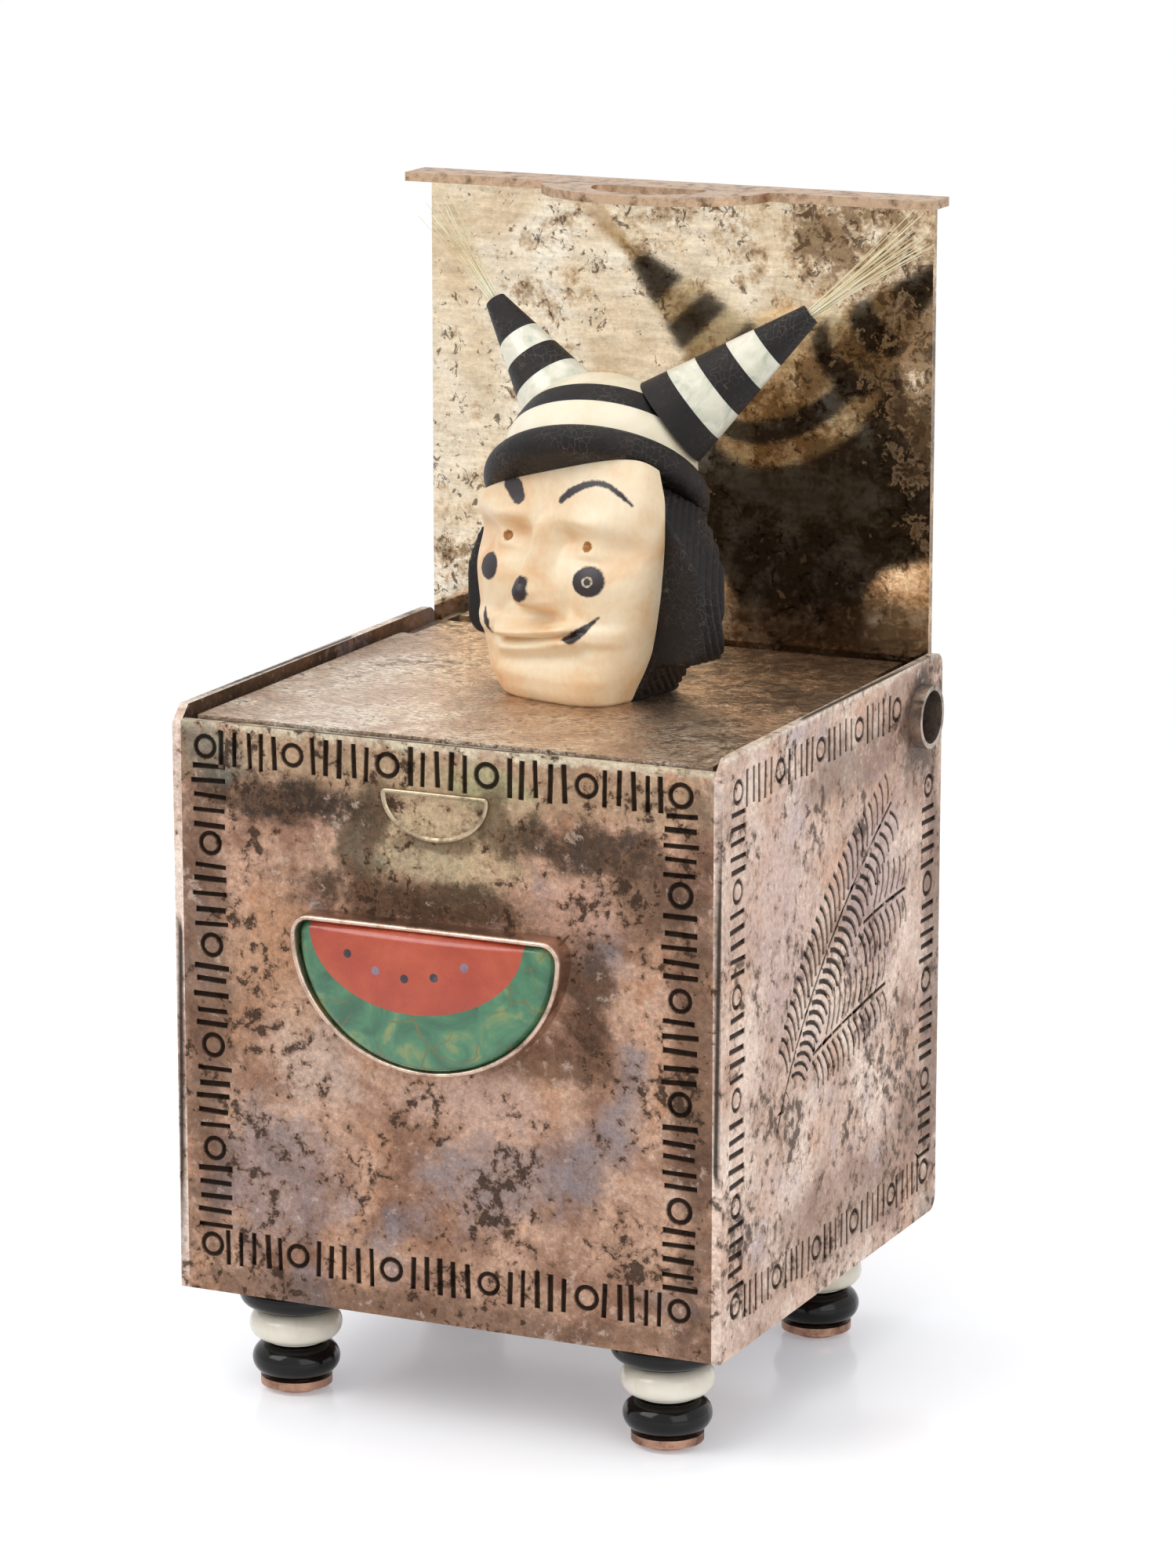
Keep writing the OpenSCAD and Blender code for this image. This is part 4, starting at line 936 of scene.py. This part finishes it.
catchMesh.materials.append(frontSilver)
for face in catchMesh.polygons:   # the sunk face keeps the wall's own skin
    height = frontY - (face.center.y - boxMid.y) / mm
    if face.normal.y < -0.97 and height < catch["sunk"] + 0.025:
        face.material_index = 1
print("melon slice, bezel and catch made")

# spring: a drawn wire wound by one rule, its end turns closed flat

spring = {"lowRadius": 20, "topRadius": 9, "turns": 7, "wire": 1.1, "closed": 0.7, "seat": 0.95, "gap": 0.05}


def springTree(mat):
    tree, given = newRule("wound spring",
                          ("Low Radius", "Top Radius", "Turns", "Wire", "Closed Turns", "Bottom", "Top"))
    line = put(tree, "GeometryNodeCurvePrimitiveLine", {"Start": (0, 0, 0), "End": (0, 0, 1)})
    line = put(tree, "GeometryNodeResampleCurve", {"Curve": line, "Count": 40 * spring["turns"] + 1})
    share = put(tree, "GeometryNodeSplineParameter", out="Factor")
    turn = put(tree, "ShaderNodeMath", {0: share, 1: given["Turns"]}, operation="MULTIPLY")
    last = put(tree, "ShaderNodeMath", {0: given["Turns"], 1: given["Closed Turns"]}, operation="SUBTRACT")
    radius = put(tree, "ShaderNodeMapRange", {
        0: turn, 1: given["Closed Turns"], 2: last, 3: given["Low Radius"], 4: given["Top Radius"]})
    height = put(tree, "ShaderNodeMapRange", {
        0: turn, 1: given["Closed Turns"], 2: last, 3: given["Bottom"], 4: given["Top"]})
    angle = put(tree, "ShaderNodeMath", {0: turn, 1: math.tau}, operation="MULTIPLY")
    place = polarPoint(tree, angle, radius, height)
    coil = put(tree, "GeometryNodeSetPosition", {"Geometry": line, "Position": place})
    half = put(tree, "ShaderNodeMath", {0: given["Wire"], 1: 0.5}, operation="MULTIPLY")
    section = put(tree, "GeometryNodeCurvePrimitiveCircle", {"Resolution": 12, "Radius": half})
    wire = put(tree, "GeometryNodeCurveToMesh", {"Curve": coil, "Profile Curve": section, "Fill Caps": True})
    return closeRule(tree, wire, mat)


half = spring["wire"] / 2
springMesh = fromRule(springTree(springWire), {
    "Low Radius": spring["lowRadius"] * mm, "Top Radius": spring["topRadius"] * mm,
    "Turns": float(spring["turns"]), "Wire": spring["wire"] * mm, "Closed Turns": spring["closed"],
    "Bottom": (spring["seat"] + half) * mm, "Top": platformLow.z - boxMid.z - (half + spring["gap"]) * mm})
springMesh.transform(Matrix.Translation(boxMid))
coil = link("coilSpring", smooth(tidied(springMesh), 60), springWire, "box", "spring_wire", "coil_spring")
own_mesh(coil)
print("spring wound")


# seeds: drilled dots filled flush, a hair proud of the flesh

seeds = {
    "diameter": 0.85, "count": 5, "pale": (1, 4), "shift": -0.7, "spread": 0.275, "low": 0.56, "rise": 0.22,
}
seedParts = []
for i in range(seeds["count"]):
    a = -1 + 2 * i / (seeds["count"] - 1)
    middle = np.array((melon["fleshX"] + seeds["shift"] + a * melon["fleshWidth"] * seeds["spread"],
                       -mt - melon["fleshHeight"] * (seeds["low"] - seeds["rise"] * a * a)))
    loops = []
    for share, lift in ((1.0, -0.4), (1.0, 0.0), (0.8, 0.02), (0.4, 0.03)):
        ring = np.array([middle + seeds["diameter"] / 2 * share * np.array((math.cos(t), -math.sin(t)))
                         for t in np.linspace(0, math.tau, 24, endpoint=False)])
        loops.append(onFront(ring, melonHeight(ring, shell) + lift, melon["x"], melon["top"]))
    seedParts.append(loopMesh("seed", loops))
seedMesh = bpy.data.meshes.new("melonSeeds")
work = bmesh.new()
for part in seedParts:
    work.from_mesh(part)
work.to_mesh(seedMesh)
work.free()
link("melonSeeds", smooth(seedMesh, 40), seedStone, "box", "black_stone_matte", "melon_seeds")
seedMesh.materials.append(paleSeed)
paleFaces = [int(i in seeds["pale"]) for i, part in enumerate(seedParts) for face in part.polygons]
seedMesh.polygons.foreach_set("material_index", paleFaces)

# head

head = {
    "x": 2.0, "y": -1.5, "turn": 14, "half": 10.6, "depth": 6.0, "nose": 3.4, "squareness": 0.6,
    "chamfer": 0.45, "columns": 220, "rows": 240,
}
headMiddle = Vector((boxMid.x + head["x"] * mm, boxMid.y + head["y"] * mm, platformHigh.z))
headTurn = Matrix.Rotation(math.radians(-head["turn"]), 3, "Z")
hat = {"at": (0.9, 2.3, 19.7), "back": 38, "side": 9, "roll": 1.5}
hatTurn = Euler((math.radians(-hat["back"]), math.radians(-hat["side"]), 0)).to_matrix()
hatAxis = headTurn.transposed() @ (hatTurn @ Vector((0, 0, 1)))
hatAt = headTurn.transposed() @ Vector(hat["at"])


def headPlaces(x, y, z):
    turn = np.array(headTurn)
    return (np.stack([x, y, z], -1) @ turn.T) * mm + np.array(headMiddle)


def brimHeight(x, y):
    return hatAt.z - (hat["roll"] + hatAxis.x * (x - hatAt.x) + hatAxis.y * (y - hatAt.y)) / hatAxis.z


def table(z, pairs, blur=0.5):
    # a rounded reading of a table: the mean of five straight-line readings
    xs, ys = zip(*pairs)
    return sum(np.interp(z + d * blur, xs, ys) for d in (-1, -0.5, 0, 0.5, 1)) / 5


def dent(x, z, atX, atZ, sizeX, sizeZ):
    return np.exp(-((x - atX) / sizeX) ** 2 - ((z - atZ) / sizeZ) ** 2)


def nearLine(x, z, points, widths):
    # distance in mm from a stroke whose half width runs through the given values
    best = np.full(x.shape, 9.0)
    for a, b, wa, wb in zip(points, points[1:], widths, widths[1:]):
        abX, abZ = b[0] - a[0], b[1] - a[1]
        t = np.clip(((x - a[0]) * abX + (z - a[1]) * abZ) / (abX ** 2 + abZ ** 2), 0, 1)
        away = np.hypot(x - a[0] - t * abX, z - a[1] - t * abZ) - (wa + (wb - wa) * t)
        best = np.minimum(best, away)
    return best


# (height in mm, share): of the head's half width, of its depth, of the nose's height
faceWidths = [
    (0, 0.62), (1.5, 0.69), (3, 0.77), (5, 0.855), (7.7, 0.91), (10.7, 0.955), (13.8, 0.985), (16, 1),
    (20, 1), (23, 0.93), (27, 0.76)]
faceLine = [
    (0, 0.9), (1, 1.02), (2.6, 1.08), (4.6, 0.99), (6, 1), (6.5, 1.1), (7.6, 1.1), (8.4, 0.99), (12, 0.98),
    (15.4, 0.84), (17, 0.9), (19, 0.86), (21, 0.76), (23.5, 0.58), (27, 0.3)]
noseRidge = [(9.0, 0), (9.7, 0.8), (11.2, 1.08), (14, 0.8), (17, 0.46), (19.5, 0.05), (20.5, 0)]
features = {"eyeX": 4.9, "eyeZ": 15.6, "mouthHalf": 4.9, "mouthZ": 6.4, "mouthRise": 0.01, "mouthTilt": 0.16}
hills = [  # mm: across and up, reach across and up, height; the same on both sides
    (2.1, 10.3, 0.75, 0.8, 1.0), (2.8, 10.1, 0.6, 1.4, -0.45),      # wings of the nose
    (3.2, 16.2, 1.9, 1.5, -1.15), (5.3, 15.2, 1.7, 0.9, 0.35),      # eye's socket and lid
    (4.8, 14.2, 2.2, 0.45, -0.3), (6.0, 12.3, 2.2, 1.8, 0.35),      # under the eye, cheekbone
    (4.7, 18.0, 3.2, 0.9, 0.75), (0, 18.2, 0.9, 1.6, -0.35),        # brows and the frown between them
    (0, 8.3, 0.5, 0.7, -0.2),                                       # under the nose
]
lips = [  # mm: up from the lip line, height, reach; the line, upper and lower lip, the dip below
    (0, -0.6, 0.22), (0.75, 1.15, 0.6), (-0.85, 1.0, 0.7), (-2.0, -0.3, 0.6)]


def relief(x, z):
    ax = np.abs(x)
    bridge = 0.95 + 0.85 * np.clip((13.6 - z) / 2.2, 0, 1)
    out = head["nose"] * table(z, noseRidge, 0.3) * np.exp(-(ax / bridge) ** 2.6)
    for atX, atZ, sizeX, sizeZ, height in hills:
        out += height * dent(ax, z, atX, atZ, sizeX, sizeZ)
    out -= np.where(x < 0, 1.9, 1.0) * dent(ax, z, 8.7, 15.6, 2.3, 1.8)   # temples
    lipLine = features["mouthZ"] + features["mouthRise"] * ax ** 2 + features["mouthTilt"] * x
    inside = 1 / (1 + np.exp((ax - features["mouthHalf"]) * 3))
    for off, height, reach in lips:
        out += inside * height * np.exp(-((z - lipLine - off) / reach) ** 2)
    fold = nearLine(ax, z, [(2.4, 10.6), (4.2, 9.2), (5.6, 7.2), (5.9, 5.6)], [0, 0, 0, 0])
    out -= 0.22 * np.exp(-(fold / 0.6) ** 2)
    eyeX, eyeZ = features["eyeX"], features["eyeZ"]
    eye = nearLine(ax, z, [(eyeX, eyeZ), (eyeX + 0.01, eyeZ)], [0.36, 0.36])
    out -= 0.35 / (1 + np.exp(eye * 14))   # drilled eyes
    return out


def faceOutline(a, z):
    x = head["half"] * table(z, faceWidths) * np.sign(a) * np.abs(np.sin(a)) ** head["squareness"]
    forward = np.abs(np.cos(a))
    y = -head["depth"] * table(z, faceLine, 0.3) * forward ** head["squareness"]
    return x, y - relief(x, z) * forward ** 0.5


angles = np.linspace(-math.pi / 2, math.pi / 2, head["columns"] + 1)
shares = np.linspace(0, 1, head["rows"] + 1)
a, v = np.meshgrid(angles, shares)
z = 22.0 * v   # first guess of the height, brought to the hat's tilted brim in five rounds
for _ in range(5):
    x, y = faceOutline(a, z)
    y = np.where(np.abs(a) > math.pi / 2 - 1e-6, 0.0, y)
    z = brimHeight(x, y) * v
near = np.clip(1 - z / head["chamfer"], 0, 1)   # the jaw's lower edge is rounded off
x, y = x * (1 - 0.035 * near ** 2), y * (1 - 0.05 * near ** 2)
places = headPlaces(x, y, z).reshape(-1, 3)
wide = head["columns"] + 1
faces = [(j * wide + i, (j + 1) * wide + i, (j + 1) * wide + i + 1, j * wide + i + 1)
         for j in range(head["rows"]) for i in range(head["columns"])]
bottom = list(range(wide))
top = [head["rows"] * wide + i for i in range(wide)]
starts = [j * wide for j in range(head["rows"] + 1)]
seam = starts + [start + wide - 1 for start in starts[::-1]]
faces += [bottom, top[::-1], seam]
faceMesh = bpy.data.meshes.new("carvedFace")
faceMesh.from_pydata([tuple(p) for p in places], [], faces)
flatX, flatZ = x.ravel(), z.ravel()
strokes = [
    ([(1.9, 19.8), (2.9, 20.7), (4.2, 21.4), (5.8, 21.8), (7.1, 21.5), (8.5, 20.7), (9.4, 19.9)],
     [0.32, 0.42, 0.34, 0.26, 0.24, 0.2, 0.08]),   # right brow
    ([(-4.7, 20.8), (-3.9, 20.3), (-3.2, 19.6)], [0.8, 0.92, 0.7]),   # left brow
    ([(-0.15, 11.35), (-0.05, 12.1)], [1.1, 0.8]),   # nose
    ([(3.6, 6.9), (4.6, 7.0), (5.4, 7.7), (6.8, 9.1)], [0.1, 0.52, 0.42, 0.08]),   # right smile
    ([(-7.2, 8.3), (-6.6, 7.2), (-6.2, 6.1)], [0.12, 0.42, 0.12]),   # left smile
]
mark = np.full(flatX.shape, 9.0)
for points, widths in strokes:
    mark = np.minimum(mark, nearLine(flatX, flatZ, points, widths))
ring = np.hypot((flatX - 5.75) / 1.18, flatZ - 12.45)   # the cheeks' round spots, the right one with a ring
mark = np.minimum(mark, np.maximum(ring - 1.45, 0.04 - np.abs(ring - 0.42)))
mark = np.minimum(mark, np.hypot(flatX + 6.6, flatZ - 12.5) - 1.3)
eyeWidth = np.where(flatX > 0, 1.4, 1.0)
eyes = np.hypot((np.abs(flatX) - features["eyeX"]) / eyeWidth, flatZ - features["eyeZ"]) - 0.5
# how far each place sinks below the face, for the painted shade in its hollows
paintedHollowShade = np.clip(-relief(flatX, flatZ) * 1.2 - 0.25, 0, 1)
for name, values in (("mark", mark), ("drill", eyes), ("paintedHollowShade", paintedHollowShade)):
    layer = faceMesh.attributes.new(name, "FLOAT", "POINT")
    layer.data.foreach_set("value", np.clip(values, -1, 1).astype(np.float32))
link("carvedFace", smooth(tidied(faceMesh), 60), faceBone, "jack", "bone", "face")
print("face carved")

# hair: the black stone is rounded off and cut with flowing strands

hair = {"voxel": 0.4, "rounding": 3, "strand": 0.95, "depth": 0.3}   # mm, passes, mm, mm
hairPiece = bpy.data.objects.new("hairBlank", tidied(nodes["hair"].data.copy()))
scene.collection.objects.link(hairPiece)
remesh = hairPiece.modifiers.new("blank", "REMESH")
remesh.mode = "VOXEL"
remesh.voxel_size = hair["voxel"] * mm
rounded = hairPiece.modifiers.new("rounded", "SMOOTH")
rounded.iterations = hair["rounding"]
finer = hairPiece.modifiers.new("finer", "SUBSURF")
finer.levels = finer.render_levels = 1
hairMesh = evaluated(hairPiece)
hairMesh.name = "carvedHair"
co, normals = (np.empty(len(hairMesh.vertices) * 3) for _ in range(2))
hairMesh.vertices.foreach_get("co", co)
hairMesh.vertices.foreach_get("normal", normals)
co, normals = co.reshape(-1, 3), normals.reshape(-1, 3)
local = (co - np.array(headMiddle)) / mm @ np.array(headTurn)
localNormal = normals @ np.array(headTurn)
lean = np.abs(local[:, 0]) - 0.12 * (local[:, 2] - 12) ** 2 * 0.2 + local[:, 1] * 0.9
wave = 0.5 + 0.5 * np.sin(math.tau / hair["strand"] * lean + 0.8 * np.sin(local[:, 2] * 0.7))
free = (local[:, 1] > 0.5) & (local[:, 2] > 0.6)      # the seam with the face and the foot stay plain
cutDepth = hair["depth"] * (1 - wave) ** 2 * free * np.clip(1.2 - np.abs(localNormal[:, 2]), 0, 1)
co -= normals * cutDepth[:, None] * mm
hairMesh.vertices.foreach_set("co", co.ravel())
link("carvedHair", smooth(hairMesh, 60), matteBlack, "jack", "black_stone_matte", "hair")
print("hair carved")

# tufts: bristles glued in the ends of the horns

tufts = {
    "right": {"root": (8.2, 6.0, 27.0), "tip": (19.4, 11, 36.6), "length": 15.0, "count": 22, "seed": 3},
    "left": {"root": (-4.9, 8.1, 26.0), "tip": (-14, 11, 35.9), "length": 13.0, "count": 18, "seed": 8},
}
tuftShape = {"hair": 0.16, "spread": 0.075, "base": 0.45, "curl": 0.05, "sunk": 0.6}


def tuftTree(mat):
    tree, given = newRule("bristle tuft", ("Length", "Hair Width", "Spread", "Base Radius", "Curl"),
                          ("Count", "Seed"))
    # one bristle: a bent line of 9 points, thick at its root and fine at its end
    line = put(tree, "GeometryNodeCurvePrimitiveLine", {"Start": (0, 0, 0), "End": (0, 0, 1)})
    line = put(tree, "GeometryNodeResampleCurve", {"Curve": line, "Count": 9})
    share = put(tree, "GeometryNodeSplineParameter", out="Factor")
    rise = put(tree, "ShaderNodeMath", {0: share, 1: given["Length"]}, operation="MULTIPLY")
    bend = share
    for factor in (share, given["Curl"], given["Length"]):
        bend = put(tree, "ShaderNodeMath", {0: bend, 1: factor}, operation="MULTIPLY")
    place = put(tree, "ShaderNodeCombineXYZ", {0: bend, 2: rise})
    bent = put(tree, "GeometryNodeSetPosition", {"Geometry": line, "Position": place})
    thin = put(tree, "ShaderNodeMapRange", {0: share, 1: 0, 2: 1, 3: 1, 4: 0.35})
    section = put(tree, "GeometryNodeCurvePrimitiveCircle", {"Resolution": 5, "Radius": given["Hair Width"]})
    hairLine = put(tree, "GeometryNodeCurveToMesh",
                   {"Curve": bent, "Profile Curve": section, "Scale": thin, "Fill Caps": True})
    # where each one stands, and how it leans
    points = put(tree, "GeometryNodePoints", {"Count": given["Count"]})
    number = put(tree, "GeometryNodeInputIndex")
    turn = put(tree, "ShaderNodeMath", {0: number, 1: 2.4}, operation="MULTIPLY")   # the golden angle
    out = put(tree, "FunctionNodeRandomValue", {2: 0.15, 3: 1.0, "Seed": given["Seed"]}, out=1,
              data_type="FLOAT")
    radius = put(tree, "ShaderNodeMath", {0: out, 1: given["Base Radius"]}, operation="MULTIPLY")
    stand = polarPoint(tree, turn, radius)
    points = put(tree, "GeometryNodeSetPosition", {"Geometry": points, "Position": stand})
    lean = put(tree, "ShaderNodeMath", {0: out, 1: given["Spread"]}, operation="MULTIPLY")
    lean = put(tree, "ShaderNodeCombineXYZ", {1: lean, 2: turn})
    size = put(tree, "FunctionNodeRandomValue", {2: 0.72, 3: 1.0, "Seed": 5}, out=1, data_type="FLOAT")
    scale = put(tree, "ShaderNodeCombineXYZ", {0: 1, 1: 1, 2: size})
    placed = put(tree, "GeometryNodeInstanceOnPoints",
                 {"Points": points, "Instance": hairLine, "Rotation": lean, "Scale": scale})
    return closeRule(tree, placed, mat)


bristles = tuftTree(bristle)
for hand, look in tufts.items():
    tip = headMiddle + Vector(look["tip"]) * mm
    way = (Vector(look["tip"]) - Vector(look["root"])).normalized()
    mesh = fromRule(bristles, {
        "Length": (look["length"] + tuftShape["sunk"]) * mm, "Hair Width": tuftShape["hair"] / 2 * mm,
        "Spread": tuftShape["spread"], "Base Radius": tuftShape["base"] * mm, "Curl": tuftShape["curl"],
        "Count": look["count"], "Seed": look["seed"]})
    turn = way.to_track_quat("Z", "Y").to_matrix().to_4x4()
    mesh.transform(Matrix.Translation(tip - way * tuftShape["sunk"] * mm) @ turn)
    piece = link(hand + "Tuft", smooth(mesh, 50), bristle, "jack", "bristle", hand + "_tuft")
    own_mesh(piece)
print("tufts set")


# finishes of the CAD's own pieces

finishes = {
    frontSilver: ["front_wall"], sideSilver: ["left_wall", "right_wall"],
    plainSilver: ["floor_plate", "back_wall", "spring_seat", "spring_collar", "head_pin"],
    tubeSilver: ["hinge_tube_left", "hinge_tube_right", "lid_ear_left", "lid_ear_right"],
    catchSilver: ["catch"], bezelSilver: ["bezel"], flangeSilver: ["lid_flange"], lidInside: ["lid_plate"],
    turquoise: ["melon_rind"], coral: ["melon_flesh"], seedStone: ["melon_seeds"],
    blackBead: [f"{place}_bead_{n}" for place in ("upper", "lower") for n in (1, 2, 3, 4)],
    whiteBead: [f"white_bead_{n}" for n in (1, 2, 3, 4)], copperMetal: ["foot_washers", "foot_rivets"],
    springWire: ["coil_spring"], platformSilver: ["platform"], faceBone: ["face"],
    matteBlack: ["hair", "hat_brim", "hat_black_band"] + [
        f"{hand}_horn_{part}" for hand in ("right", "left") for part in ("root", "middle", "tip")],
    boneBand: ["hat_white_band", "hat_cap"],
    shellBand: [f"{hand}_horn_{part}" for hand in ("right", "left") for part in ("lower_band", "upper_band")],
    bristle: ["right_tuft", "left_tuft"],
}
for mat, names in finishes.items():
    for name in names:
        mesh = nodes[name].data
        mesh.materials.clear()
        mesh.materials.append(mat)
print("finishes set on", sum(len(n) for n in finishes.values()), "nodes")
